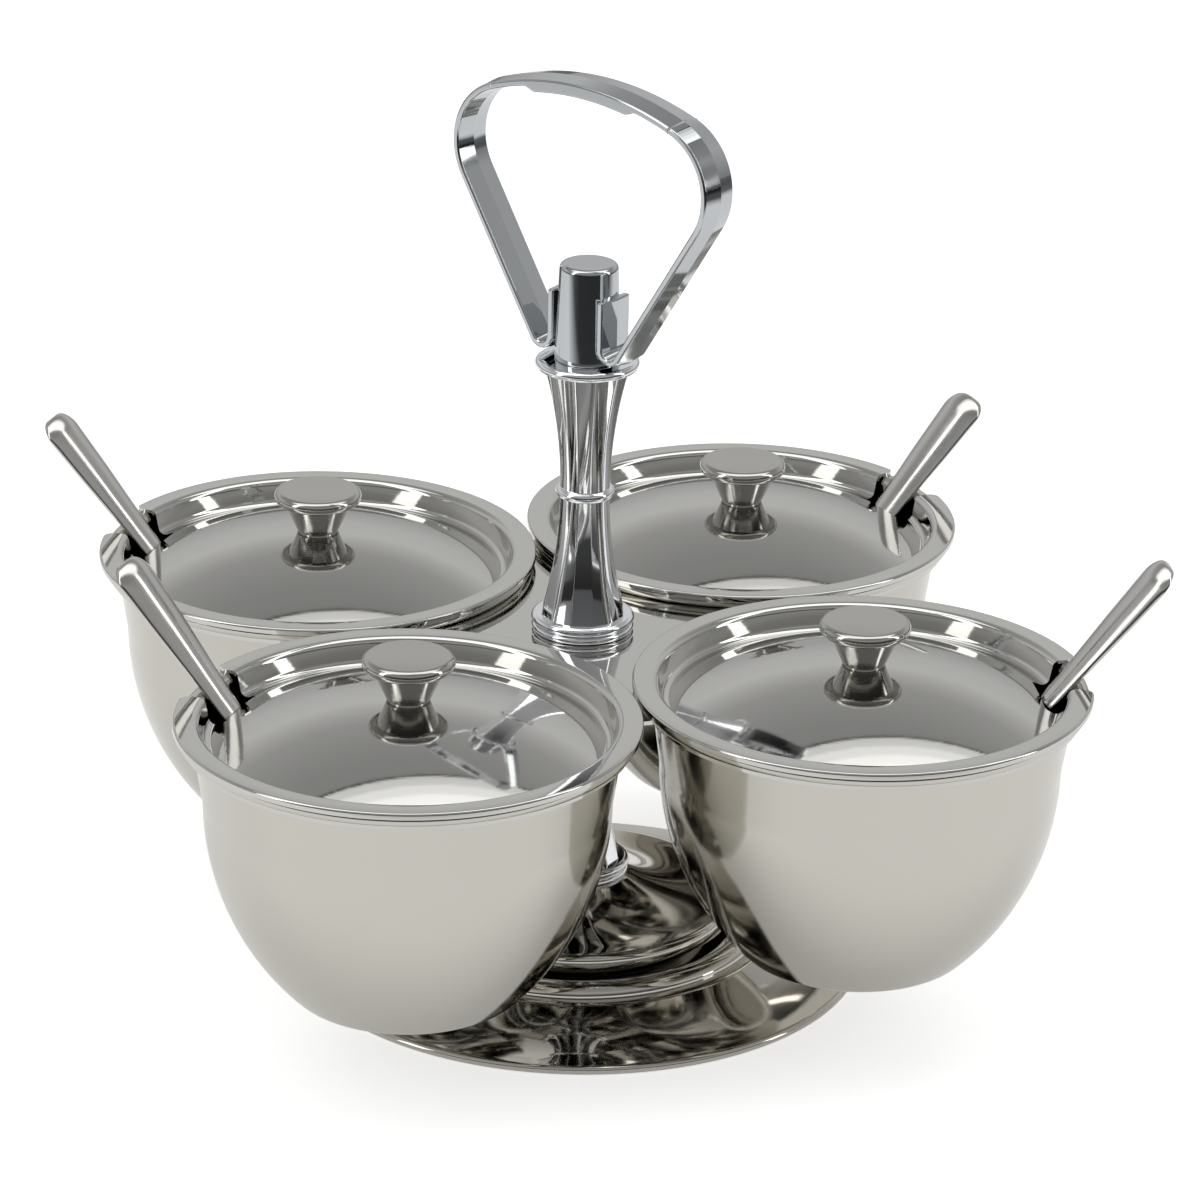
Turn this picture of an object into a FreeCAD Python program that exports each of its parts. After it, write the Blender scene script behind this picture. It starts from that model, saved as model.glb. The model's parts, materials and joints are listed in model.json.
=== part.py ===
"""Revolving relish server: four covered bowls with spoons on a turntable with a carrying handle.

Frame: origin on the table under the middle of the base, +Z up. Lengths are millimetres and angles degrees.
The bowls hang at the corners of a square, and the base, post, column and hub share the Z axis.
"""
import math
import os

import FreeCAD
import Part

# Bowls: spun sheet with a rolled rim that hangs on the carrier.
BOWL_MOUTH_R = 51.6
BOWL_SHEET = 0.8
BOWL_RIM_OVERHANG = 3.8
BOWL_RIM_H = 3.3
BOWL_LIP_R = 2.0
BOWL_DEPTH = 71.5
BOWL_WALL_INSET_W = 2.5
BOWL_WALL_H = 17.0
BOWL_SIDE_R = 70.0
BOWL_FOOT_R = 6.0

# Each bowl's turn about Z, its spoon's turn, and the spoon's tilt from upright.
PLACES = {
    "front_left": (225, 145, 39.5),
    "front_right": (315, -7, 39.5),
    "back_right": (45, 17, 44.0),
    "back_left": (135, 148, 41.0),
}

# Lids: pressed covers that plug the bowls, with a domed floor and a slot for the spoon.
LID_SHEET = 0.8
LID_OVERHANG = 0.8
LID_GAP = 0.6
LID_FIT = 0.35
LID_WALL_LEAN = 11.0
LID_DEPTH = 6.4
LID_CROWN = 11.1
LID_SHOULDER_R = 1.8
LID_FOOT_R = 1.8
LID_CURL_H = 1.6
LID_CURL_W = 0.6
SLOT_W = 18.6
SLOT_CORNER_R = 3.0
SLOT_END_R = 1.5
SLOT_CLEAR = 0.6

# Knobs: turned cups with a round-edged cap, each held by one screw from under the lid.
KNOB_TOP_R = 11.4
KNOB_H = 11.4
KNOB_CAP_H = 3.4
KNOB_CUP_TOP_R = 8.9
KNOB_CUP_FOOT_R = 5.4
KNOB_NECK_R = 4.9
KNOB_NECK_H = 0.5
KNOB_PAD_R = 6.0
SCREW_R = 2.0
SCREW_HEAD_R = 4.0
SCREW_HEAD_H = 1.6
SCREW_L = 9.0
SCREW_CLEAR = 0.3

# Spoons: pressed, with an oval scoop and a hollow-backed tapered handle.
SPOON_CLEAR = 0.5
SPOON_SHEET = 1.0
SCOOP_L = 40.0
SCOOP_W = 26.0
SCOOP_DEPTH = 7.5
SCOOP_RAISE_H = 1.0
NECK_W = 7.2
NECK_D = 1.7
GRIP_W = 15.2
GRIP_D = 3.9
GRIP_CORNER_R = 5.4
GRIP_END_R = 2.2
GRIP_END_TURNS = (0, 30, 60, 90)
GRIP_BACK_LIP = 3.0
HANDLE_L = 109.5
HANDLE_SHARES = ((0.0, 0.0, 0.0), (0.34, 0.1, 0.06), (0.6, 0.36, 0.24), (0.84, 0.8, 0.76), (1.0, 1.0, 1.0))

# Base pan: spun sheet standing on a rolled edge.
PAN_R = 74.2
PAN_SHEET = 1.0
PAN_ROLL_R = 1.2
PAN_FOOT_W = 1.4
PAN_CREASE_R = 50.5
PAN_CREASE_Z = 8.2
PAN_BEAD_R = 3.4
PAN_BEAD_AT_R = 45.4
PAN_BEAD_TOP = 12.0
DECK_TOP = 10.9

# Turntable bearing between the pan and the dome.
RACE_PITCH_R = 29.5
RACE_W = 9.0
RACE_T = 1.2
BALL_R = 1.6
BALL_COUNT = 12
GROOVE_DEPTH = 0.5
GROOVE_CLEAR = 0.15
BEARING_CLEAR = 0.05
CAGE_W = 6.0
CAGE_T = 1.0
CAGE_CLEAR = 0.2

# Turning dome: spun bell over the bearing.
DOME_SHEET = 0.9
DOME_R = 40.4
DOME_LIP_R = 2.0
DOME_LIP_GAP = 0.7
DOME_SHELF_R = 35.0
DOME_RISE = 6.0

# Pivot rod and what holds it in the pan.
ROD_R = 3.0
ROD_CLEAR = 0.3
BUSH_RUN_CLEAR = 0.05
BUSH_WALL = 1.8
BUSH_FLANGE_R = 8.0
BUSH_FLANGE_T = 1.0
WASHER_R = 7.5
WASHER_T = 1.2
WASHER_CLEAR = 0.2
NUT_ACROSS_FLATS = 10.0
NUT_H = 4.4
NUT_SIDES = 6
ROD_TAIL = 0.8
ROD_IN_HUB = 14.0

# Post and column: fluted cones that meet foot to foot at a waist ring.
FLUTE_COUNT = 12
CONE_FOOT_R = 10.9
CONE_WAIST_R = 6.5
CONE_FLARE_SHARES = ((0.0, 1.0), (0.16, 0.72), (0.42, 0.35), (0.72, 0.09), (1.0, 0.0))
CONE_FLANGE_R = 13.1
CONE_FLANGE_T = 2.4
POST_CONE_H = 31.0
COLUMN_CONE_H = 34.0
SPIGOT_R = 4.8
SPIGOT_H = 1.1
SPIGOT_CLEAR = 0.3
WAIST_RING_R = 7.45
WAIST_RING_H = 2.6
COLLAR_R = 12.8
COLLAR_H = 1.8
FOOT_RING_R = 13.0
FOOT_RING_H = 2.0

# Carrier: one sheet with four rings.
PLATE_T = 1.0
PLATE_WEB_R = 62.0
PLATE_RING_W = 1.9
PLATE_HOLE_CLEAR = 0.5

# Handle: one moulding, a hub and a flat strap bent to a loop.
HUB_R = 8.3
HUB_TOP_R = 7.4
HUB_H = 24.9
HUB_EDGE_R = 1.4
STRAP_W = 11.0
STRAP_EDGE_T = 1.6
STRAP_RIDGE_T = 2.8
STRAP_LEAF_AT_R = 7.9
STRAP_LEAF_TOP = 17.5
STRAP_LIFT = 0.9
BEND_R = 3.0
LOOP_HALF_W = 39.2
LOOP_TOP = 71.4
LOOP_WIDEST = 50.0
LOOP_CROWN_R = 84.0
GRIP_PAD_HALF_L = 14.3
GRIP_PAD_T = 1.6
GRIP_PAD_RAMP = 3.6
HANDLE_TURN = -53.0

# One overrun serves every cut, and points nearer than the tolerance count as one.
OVERRUN = 5.0
TOLERANCE = 1e-6

# Sizes that follow.
BOWL_WALL_R = BOWL_MOUTH_R + BOWL_SHEET
BOWL_RIM_R = BOWL_WALL_R + BOWL_RIM_OVERHANG
LID_R = BOWL_RIM_R + LID_OVERHANG
BOWL_RING_R = (LID_R + LID_GAP / 2) * math.sqrt(2)
RACE_RISE = RACE_T - GROOVE_DEPTH
BALL_Z = DECK_TOP + RACE_RISE + BEARING_CLEAR + BALL_R
SHELF_UNDER = BALL_Z + BALL_R + BEARING_CLEAR + RACE_RISE
DOME_TOP = SHELF_UNDER + DOME_SHEET + DOME_RISE
POST_FOOT = DOME_TOP + COLLAR_H
POST_WAIST = POST_FOOT + POST_CONE_H
PLATE_UNDER = POST_WAIST + WAIST_RING_H + POST_CONE_H
PLATE_TOP = PLATE_UNDER + PLATE_T
COLUMN_FOOT = PLATE_TOP + FOOT_RING_H
COLUMN_WAIST = COLUMN_FOOT + COLUMN_CONE_H
HUB_FOOT = COLUMN_WAIST + WAIST_RING_H + COLUMN_CONE_H
RIM_TOP = PLATE_TOP + BOWL_RIM_H
BOWL_FLOOR = RIM_TOP - BOWL_DEPTH + BOWL_SHEET
LID_TOP = RIM_TOP + LID_SHEET
LID_FLOOR = LID_TOP - LID_DEPTH
KNOB_SEAT = LID_FLOOR + LID_CROWN
BORE_R = ROD_R + ROD_CLEAR

X_AXIS = FreeCAD.Vector(1, 0, 0)
Y_AXIS = FreeCAD.Vector(0, 1, 0)
Z_AXIS = FreeCAD.Vector(0, 0, 1)
ORIGIN = FreeCAD.Vector(0, 0, 0)


def polar(centre, radius, angle):
    """Point at an angle on a circle in the outline plane."""
    turn = math.radians(angle)
    return centre[0] + radius * math.cos(turn), centre[1] + radius * math.sin(turn)


class Outline:
    """Closed outline in the XZ plane made of straight runs and arcs."""

    def __init__(self, *start):
        self.points = [start]
        self.edges = []

    def vector(self, point):
        return FreeCAD.Vector(point[0], 0, point[1])

    def to(self, *point):
        if math.dist(self.points[-1], point) > TOLERANCE:
            self.edges.append(Part.LineSegment(self.vector(self.points[-1]), self.vector(point)).toShape())
            self.points.append(point)
        return self

    def arc(self, centre, radius, first, last):
        """Run to the arc's first angle, then round it to the last."""
        self.to(*polar(centre, radius, first))
        stops = [self.vector(polar(centre, radius, a)) for a in (first, (first + last) / 2, last)]
        self.edges.append(Part.Arc(*stops).toShape())
        self.points.append(polar(centre, radius, last))
        return self

    def wire(self):
        self.to(*self.points[0])
        return Part.Wire(self.edges)

    def turned(self):
        return Part.Face(self.wire()).revolve(ORIGIN, Z_AXIS, 360)


def tube(inner, outer, low, high):
    """Plain ring about Z."""
    return Outline(inner, low).to(outer, low).to(outer, high).to(inner, high).turned()


def bore(radius, low, high):
    return Part.makeCylinder(radius, high - low, FreeCAD.Vector(0, 0, low))


def torus_about_z(ring, radius, level):
    return Part.makeTorus(ring, radius, FreeCAD.Vector(0, 0, level))


def rise_arc(start, end):
    """Centre, radius and end angle of an arc that leaves start level and climbs inward to end."""
    run = start[0] - end[0]
    climb = end[1] - start[1]
    radius = (run * run + climb * climb) / (2 * climb)
    centre = (start[0], start[1] + radius)
    angle = math.degrees(math.atan2(end[1] - centre[1], end[0] - centre[0]))
    return centre, radius, angle


def base_pan():
    """Concave skirt on a rolled edge, a shoulder bead and a flat deck with a pivot hole."""
    roll = (PAN_R - PAN_ROLL_R, PAN_ROLL_R)
    skirt, skirt_r, crease = rise_arc((roll[0], 2 * PAN_ROLL_R), (PAN_CREASE_R, PAN_CREASE_Z))
    bead = (PAN_BEAD_AT_R, PAN_BEAD_TOP - PAN_BEAD_R)
    inner_bead = PAN_BEAD_R - PAN_SHEET
    deck = DECK_TOP - bead[1]
    hole = ROD_R + BUSH_RUN_CLEAR + BUSH_WALL
    side = math.degrees(math.asin((PAN_CREASE_Z - bead[1]) / PAN_BEAD_R))
    under = polar(skirt, skirt_r + PAN_SHEET, crease)
    return (
        Outline(roll[0] - PAN_FOOT_W, 0)
        .to(roll[0], 0)
        .arc(roll, PAN_ROLL_R, -90, 90)
        .arc(skirt, skirt_r, -90, crease)
        .arc(bead, PAN_BEAD_R, side, 180 - math.degrees(math.asin(deck / PAN_BEAD_R)))
        .to(hole, DECK_TOP)
        .to(hole, DECK_TOP - PAN_SHEET)
        .arc(bead, inner_bead, 180 - math.degrees(math.asin((deck - PAN_SHEET) / inner_bead)), 0)
        .to(inner_bead + bead[0], under[1])
        .arc(skirt, skirt_r + PAN_SHEET, crease, -90)
        .to(roll[0] - PAN_FOOT_W, 2 * PAN_ROLL_R - PAN_SHEET)
        .turned()
    )


def pivot_bush():
    """Flanged sleeve in the pan's hole."""
    inner = ROD_R + BUSH_RUN_CLEAR
    sleeve = tube(inner, inner + BUSH_WALL, DECK_TOP - PAN_SHEET, DECK_TOP)
    return sleeve.fuse(tube(inner, BUSH_FLANGE_R, DECK_TOP, DECK_TOP + BUSH_FLANGE_T)).removeSplitter()


def race(low, groove_level):
    """Flat ring with a ball groove."""
    ring = tube(RACE_PITCH_R - RACE_W / 2, RACE_PITCH_R + RACE_W / 2, low, low + RACE_T)
    return ring.cut(torus_about_z(RACE_PITCH_R, BALL_R + GROOVE_CLEAR, groove_level))


def lower_race():
    return race(DECK_TOP, BALL_Z - BEARING_CLEAR + GROOVE_CLEAR)


def upper_race():
    return race(SHELF_UNDER - RACE_T, BALL_Z + BEARING_CLEAR - GROOVE_CLEAR)


def plan_prism(outline, low, high):
    """Outline laid flat, its second coordinate along Y, and raised between two levels."""
    face = Part.Face(outline.wire())
    face.rotate(ORIGIN, X_AXIS, -90)
    face.translate(Z_AXIS * low)
    return face.extrude(Z_AXIS * (high - low))


def around(count):
    """Evenly spaced turns about Z."""
    return [FreeCAD.Rotation(Z_AXIS, 360 * n / count) for n in range(count)]


def bearing_balls():
    place = FreeCAD.Vector(RACE_PITCH_R, 0, BALL_Z)
    return Part.makeCompound([Part.makeSphere(BALL_R, turn.multVec(place)) for turn in around(BALL_COUNT)])


def ball_cage():
    """Thin ring with a pocket for each ball."""
    low = BALL_Z - CAGE_T / 2
    ring = tube(RACE_PITCH_R - CAGE_W / 2, RACE_PITCH_R + CAGE_W / 2, low, low + CAGE_T)
    pocket = FreeCAD.Vector(RACE_PITCH_R, 0, low - OVERRUN)
    height = CAGE_T + 2 * OVERRUN
    places = [turn.multVec(pocket) for turn in around(BALL_COUNT)]
    return ring.cut([Part.makeCylinder(BALL_R + CAGE_CLEAR, height, place) for place in places])


def turning_dome():
    """Bell with a turned lip, a flat shelf over the bearing and a level seat for the collar."""
    shelf = SHELF_UNDER + DOME_SHEET
    lip = (DOME_R - DOME_LIP_R, shelf - DOME_LIP_R)
    lip_foot = PAN_BEAD_TOP + DOME_LIP_GAP
    swell, swell_r, end = rise_arc((DOME_SHELF_R, shelf), (COLLAR_R, DOME_TOP))
    under_end = polar(swell, swell_r + DOME_SHEET, end)
    inner_lip = DOME_LIP_R - DOME_SHEET
    return (
        Outline(BORE_R, DOME_TOP)
        .to(BORE_R, DOME_TOP - DOME_SHEET)
        .to(under_end[0], DOME_TOP - DOME_SHEET)
        .arc(swell, swell_r + DOME_SHEET, end, -90)
        .arc(lip, inner_lip, 90, 0)
        .to(lip[0] + inner_lip, lip_foot)
        .to(DOME_R, lip_foot)
        .arc(lip, DOME_LIP_R, 0, 90)
        .arc(swell, swell_r, -90, end)
        .turned()
    )


def dome_collar():
    """Rounded ring under the post."""
    half = COLLAR_H / 2
    return (
        Outline(BORE_R, DOME_TOP)
        .arc((COLLAR_R - half, DOME_TOP + half), half, -90, 90)
        .to(BORE_R, POST_FOOT)
        .turned()
    )


def pivot_rod():
    low = DECK_TOP - PAN_SHEET - WASHER_CLEAR - WASHER_T - NUT_H - ROD_TAIL
    return bore(ROD_R, low, HUB_FOOT + ROD_IN_HUB)


def rod_washer():
    high = DECK_TOP - PAN_SHEET - WASHER_CLEAR
    return tube(ROD_R, WASHER_R, high - WASHER_T, high)


def rod_nut():
    """Hexagon nut under the washer."""
    high = DECK_TOP - PAN_SHEET - WASHER_CLEAR - WASHER_T
    corner = FreeCAD.Vector(NUT_ACROSS_FLATS / math.sqrt(3), 0, high - NUT_H)
    corners = [turn.multVec(corner) for turn in around(NUT_SIDES)]
    prism = Part.Face(Part.makePolygon(corners + corners[:1])).extrude(Z_AXIS * NUT_H)
    return prism.cut(bore(ROD_R, high - NUT_H - OVERRUN, high + OVERRUN))


def fluted_cone(height):
    """Flanged foot at Z 0, a flaring shaft with flat flutes, and a spigot past the waist."""
    round_off = CONE_FLANGE_T / 2
    flange = (
        Outline(0, 0)
        .arc((CONE_FLANGE_R - round_off, round_off), round_off, -90, 90)
        .to(0, CONE_FLANGE_T)
        .turned()
    )
    rings = []
    for rise_share, flare_share in CONE_FLARE_SHARES:
        radius = CONE_WAIST_R + (CONE_FOOT_R - CONE_WAIST_R) * flare_share
        level = CONE_FLANGE_T + (height - CONE_FLANGE_T) * rise_share
        corners = [turn.multVec(FreeCAD.Vector(radius, 0, level)) for turn in around(FLUTE_COUNT)]
        rings.append(Part.makePolygon(corners + corners[:1]))
    shaft = Part.makeLoft(rings, True, True)
    spigot = bore(SPIGOT_R, height, height + SPIGOT_H)
    whole = flange.fuse([shaft, spigot])
    return whole.cut(bore(BORE_R, -OVERRUN, height + SPIGOT_H + OVERRUN))


def upright(shape, level):
    shape.translate(Z_AXIS * level)
    return shape


def inverted(shape, level):
    shape.rotate(ORIGIN, X_AXIS, 180)
    shape.translate(Z_AXIS * level)
    return shape


def waist_ring(level):
    """Bead that covers the joint of two cones."""
    half = WAIST_RING_H / 2
    swell = WAIST_RING_R - CONE_WAIST_R
    radius = (half * half + swell * swell) / (2 * swell)
    reach = math.degrees(math.asin(half / radius))
    return (
        Outline(SPIGOT_R + SPIGOT_CLEAR, level)
        .arc((WAIST_RING_R - radius, level + half), radius, -reach, reach)
        .to(SPIGOT_R + SPIGOT_CLEAR, level + WAIST_RING_H)
        .turned()
    )


def foot_ring():
    """Plain step under the column."""
    half = FOOT_RING_H / 2
    return (
        Outline(BORE_R, PLATE_TOP)
        .arc((FOOT_RING_R - half, PLATE_TOP + half), half, -90, 90)
        .to(BORE_R, COLUMN_FOOT)
        .turned()
    )


def bowl_centre(angle):
    turn = math.radians(angle)
    return FreeCAD.Vector(BOWL_RING_R * math.cos(turn), BOWL_RING_R * math.sin(turn), 0)


def carrier_plate():
    """Round web with four rings for the bowls and a hole for the rod."""
    hole = BOWL_WALL_R + PLATE_HOLE_CLEAR
    up = FreeCAD.Vector(0, 0, PLATE_UNDER)
    centres = [bowl_centre(angle) for angle, _, _ in PLACES.values()]
    rings = [Part.makeCylinder(hole + PLATE_RING_W, PLATE_T, centre + up) for centre in centres]
    web = Part.makeCylinder(PLATE_WEB_R, PLATE_T, up).fuse(rings).removeSplitter()
    deep = up - Z_AXIS * OVERRUN
    height = PLATE_T + 2 * OVERRUN
    holes = [Part.makeCylinder(hole, height, centre + deep) for centre in centres]
    return web.cut(holes + [bore(BORE_R, PLATE_UNDER - OVERRUN, PLATE_TOP + OVERRUN)])


def strap_outline(thickness):
    """Strap seen along its width: leaf, bend, limb, shoulder and crown, and the same mirrored."""
    half = thickness / 2
    bend = (STRAP_LEAF_AT_R + BEND_R, STRAP_LIFT + STRAP_RIDGE_T / 2 + BEND_R)
    crown = (0, LOOP_TOP - STRAP_EDGE_T / 2 - LOOP_CROWN_R)
    drop = LOOP_WIDEST - crown[1]
    shoulder_r = (LOOP_CROWN_R**2 - drop**2 - LOOP_HALF_W**2) / (2 * (LOOP_CROWN_R - LOOP_HALF_W))
    shoulder = (LOOP_HALF_W - shoulder_r, LOOP_WIDEST)
    span = math.dist(bend, shoulder)
    lean = math.degrees(math.atan2(shoulder[1] - bend[1], shoulder[0] - bend[0]))
    normal = lean - math.degrees(math.acos((BEND_R - shoulder_r) / span))
    meet = math.degrees(math.atan2(shoulder[1] - crown[1], shoulder[0]))
    pad = math.degrees(math.asin(GRIP_PAD_HALF_L / LOOP_CROWN_R))
    ramp = math.degrees(math.asin((GRIP_PAD_HALF_L + GRIP_PAD_RAMP) / LOOP_CROWN_R))
    under = LOOP_CROWN_R - half
    left_bend = (-bend[0], bend[1])
    left_shoulder = (-shoulder[0], shoulder[1])
    return (
        Outline(STRAP_LEAF_AT_R - half, STRAP_LEAF_TOP)
        .arc(bend, BEND_R + half, 180, 360 + normal)
        .arc(shoulder, shoulder_r + half, normal, meet)
        .arc(crown, LOOP_CROWN_R + half, meet, 180 - meet)
        .arc(left_shoulder, shoulder_r + half, 180 - meet, 180 - normal)
        .arc(left_bend, BEND_R + half, -180 - normal, 0)
        .to(half - STRAP_LEAF_AT_R, STRAP_LEAF_TOP)
        .to(-half - STRAP_LEAF_AT_R, STRAP_LEAF_TOP)
        .arc(left_bend, BEND_R - half, 0, -180 - normal)
        .arc(left_shoulder, shoulder_r - half, 180 - normal, 180 - meet)
        .arc(crown, under, 180 - meet, 90 + ramp)
        .arc(crown, under - GRIP_PAD_T, 90 + pad, 90 - pad)
        .arc(crown, under, 90 - ramp, meet)
        .arc(shoulder, shoulder_r - half, meet, normal)
        .arc(bend, BEND_R - half, 360 + normal, 180)
        .to(STRAP_LEAF_AT_R + half, STRAP_LEAF_TOP)
    )


def handle():
    """Hub with a blind hole for the rod, and the ridged strap grown out of its sides."""
    wires = []
    for side_share, thickness in ((-1, STRAP_EDGE_T), (0, STRAP_RIDGE_T), (1, STRAP_EDGE_T)):
        wire = strap_outline(thickness).wire()
        wire.translate(FreeCAD.Vector(0, side_share * STRAP_W / 2, 0))
        wires.append(wire)
    strap = Part.makeLoft(wires, True, True)
    hub = (
        Outline(0, 0)
        .to(HUB_R, 0)
        .arc((HUB_TOP_R - HUB_EDGE_R, HUB_H - HUB_EDGE_R), HUB_EDGE_R, 0, 90)
        .to(0, HUB_H)
        .turned()
    )
    whole = hub.fuse(strap).cut(bore(BORE_R, -OVERRUN, ROD_IN_HUB))
    whole.rotate(ORIGIN, Z_AXIS, HANDLE_TURN)
    return upright(whole, HUB_FOOT)


def bowl():
    """Spun bowl about Z with a rolled rim, a drafted wall, a round side and a flat foot."""
    bead_r = BOWL_RIM_H / 2
    bead = (BOWL_RIM_R - bead_r, PLATE_TOP + bead_r)
    lip = (BOWL_MOUTH_R + BOWL_LIP_R, RIM_TOP - BOWL_LIP_R)
    waist = BOWL_WALL_R - BOWL_WALL_INSET_W
    side = (waist - BOWL_SIDE_R, PLATE_TOP - BOWL_WALL_H)
    floor = BOWL_FLOOR - BOWL_SHEET
    foot_level = floor + BOWL_FOOT_R
    foot_reach = math.sqrt((BOWL_SIDE_R - BOWL_FOOT_R) ** 2 - (side[1] - foot_level) ** 2)
    foot = (side[0] + foot_reach, foot_level)
    turn = math.degrees(math.atan2(foot[1] - side[1], foot[0] - side[0]))
    inner_side = BOWL_SIDE_R - BOWL_SHEET
    inner_foot = BOWL_FOOT_R - BOWL_SHEET
    return (
        Outline(0, floor)
        .arc(foot, BOWL_FOOT_R, -90, turn)
        .arc(side, BOWL_SIDE_R, turn, 0)
        .to(BOWL_WALL_R, PLATE_TOP)
        .arc(bead, bead_r, -90, 90)
        .arc(lip, BOWL_LIP_R, 90, 180)
        .to(BOWL_MOUTH_R, PLATE_TOP)
        .arc(side, inner_side, 0, turn)
        .arc(foot, inner_foot, turn, -90)
        .to(0, BOWL_FLOOR)
        .turned()
    )


def spoon_axes(tilt):
    """Directions along and across the spoon in the plane of its lean, as (outward, up) pairs."""
    lean = math.radians(tilt)
    return (math.sin(lean), math.cos(lean)), (-math.cos(lean), math.sin(lean))


def spoon_back(tilt):
    """Distance of the handle's hollow back from the bowl's axis origin, across the spoon."""
    _, across = spoon_axes(tilt)
    lip = (BOWL_MOUTH_R + BOWL_LIP_R, RIM_TOP - BOWL_LIP_R)
    return across[0] * lip[0] + across[1] * lip[1] + BOWL_LIP_R + SPOON_CLEAR


def scoop_centre(tilt):
    """Place of the scoop's middle, as (outward, up): its tip clears the bowl's floor."""
    along, across = spoon_axes(tilt)
    level = BOWL_FLOOR + SPOON_CLEAR + SCOOP_L / 2 * along[1]
    return (across[1] * level - spoon_back(tilt) - SCOOP_RAISE_H) / -across[0], level


def scoop():
    """Oval dish with its rim level at Z 0: the low side of a barrel turned about a line along X."""
    barrel = ((SCOOP_W / 2) ** 2 - SCOOP_DEPTH**2) / (2 * SCOOP_DEPTH)
    belly_r = ((SCOOP_L / 2) ** 2 + SCOOP_DEPTH**2) / (2 * SCOOP_DEPTH)
    belly = (0, belly_r - SCOOP_DEPTH)
    reach = math.degrees(math.asin((SCOOP_L / 2 + SPOON_SHEET) / belly_r))
    band = (
        Outline(*polar(belly, belly_r, 270 - reach))
        .arc(belly, belly_r, 270 - reach, 270 + reach)
        .arc(belly, belly_r - SPOON_SHEET, 270 + reach, 270 - reach)
    )
    whole = Part.Face(band.wire()).revolve(Z_AXIS * barrel, X_AXIS, 360)
    corner = FreeCAD.Vector(-SCOOP_L, -SCOOP_W, 0)
    dish = whole.cut(Part.makeBox(2 * SCOOP_L, 2 * SCOOP_W, 2 * SCOOP_W, corner))
    dish.translate(Z_AXIS * SCOOP_RAISE_H)
    return dish


def handle_size(share):
    """Width and depth of the handle at a share of its way from scoop to end."""
    for (low, low_w, low_d), (high, high_w, high_d) in zip(HANDLE_SHARES, HANDLE_SHARES[1:]):
        if share <= high:
            break
    step = (share - low) / (high - low)
    width = NECK_W + (GRIP_W - NECK_W) * (low_w + (high_w - low_w) * step)
    depth = NECK_D + (GRIP_D - NECK_D) * (low_d + (high_d - low_d) * step)
    return width, depth


def arch(place, width, depth, leg):
    """Section of the handle: a round crest on two legs and a flat back."""
    left, right = (FreeCAD.Vector(place, side * width / 2, 0) for side in (-1, 1))
    down = FreeCAD.Vector(0, 0, -leg)
    edges = [Part.Arc(right, FreeCAD.Vector(place, 0, depth), left).toShape()]
    turns = [left, left + down, right + down, right] if leg else [left, right]
    for first, last in zip(turns, turns[1:]):
        edges.append(Part.LineSegment(first, last).toShape())
    return Part.Wire(edges)


def handle_run(start, skin, leg):
    """Lofted arch from a start on the scoop to a rounded end, set in from the outside by the skin."""
    round_at = HANDLE_L - GRIP_CORNER_R
    sections = []
    for share, _, _ in HANDLE_SHARES[:-1]:
        width, depth = handle_size(share)
        place = start + (round_at - start) * share
        sections.append(arch(place, width - 2 * skin, depth - skin, leg))
    for angle in GRIP_END_TURNS:
        turn = math.radians(angle)
        place = round_at + (GRIP_CORNER_R - skin) * math.sin(turn)
        width = GRIP_W - 2 * skin - 2 * (GRIP_CORNER_R - skin) * (1 - math.cos(turn))
        depth = GRIP_D - skin - GRIP_END_R * (1 - math.cos(turn))
        sections.append(arch(place, width, depth, leg))
    return Part.makeLoft(sections, True, True)


def spoon(tilt):
    """Scoop and hollow-backed handle along X, tilted into its place in a bowl about Z."""
    start = SCOOP_L / 2 - SPOON_SHEET
    grip = handle_run(start, 0, 0).cut(handle_run(start + GRIP_BACK_LIP, SPOON_SHEET, OVERRUN))
    whole = scoop().fuse(grip)
    _, across = spoon_axes(tilt)
    out, level = scoop_centre(tilt)
    whole.rotate(ORIGIN, Y_AXIS, tilt - 90)
    whole.translate(FreeCAD.Vector(out - across[0] * SCOOP_RAISE_H, 0, level - across[1] * SCOOP_RAISE_H))
    return whole


def lid_foot():
    """Centre of the bend between the lid's wall and floor."""
    shoulder_x = BOWL_MOUTH_R - LID_FIT + LID_SHOULDER_R - LID_SHEET
    lean = math.radians(LID_WALL_LEAN)
    bends = LID_SHOULDER_R + LID_FOOT_R
    run = ((LID_DEPTH - bends) * math.sin(lean) + bends) / math.cos(lean)
    return shoulder_x - run, LID_FLOOR + LID_FOOT_R


def lid_dome():
    """Centre and radius of the floor's dome, which meets the knob's pad and blends into the foot bend."""
    foot = lid_foot()
    rise = 2 * (KNOB_SEAT - foot[1])
    bend = 2 * LID_FOOT_R
    reach = foot[0] ** 2 + (KNOB_SEAT - foot[1]) ** 2 - KNOB_PAD_R**2 - LID_FOOT_R**2
    spread = rise**2 - bend**2
    root = math.sqrt((reach * rise) ** 2 - spread * (reach**2 - (bend * KNOB_PAD_R) ** 2))
    drop = (reach * rise - root) / spread
    return (0, KNOB_SEAT - drop), math.hypot(KNOB_PAD_R, drop)


def slot_end(tilt):
    """Distance from the lid's axis to the slot's inner end, where the spoon's crest leaves the dome."""
    along, across = spoon_axes(tilt)
    _, level = scoop_centre(tilt)
    share = ((LID_TOP - level) / along[1] - SCOOP_L / 2) / (HANDLE_L - SCOOP_L / 2)
    crest = spoon_back(tilt) + handle_size(share)[1] + SLOT_CLEAR
    centre, radius = lid_dome()
    rise = math.sqrt((radius - LID_SHEET) ** 2 - (crest - centre[1] * across[1]) ** 2)
    return crest * across[0] + (centre[1] * along[1] + rise) * along[0]


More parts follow.
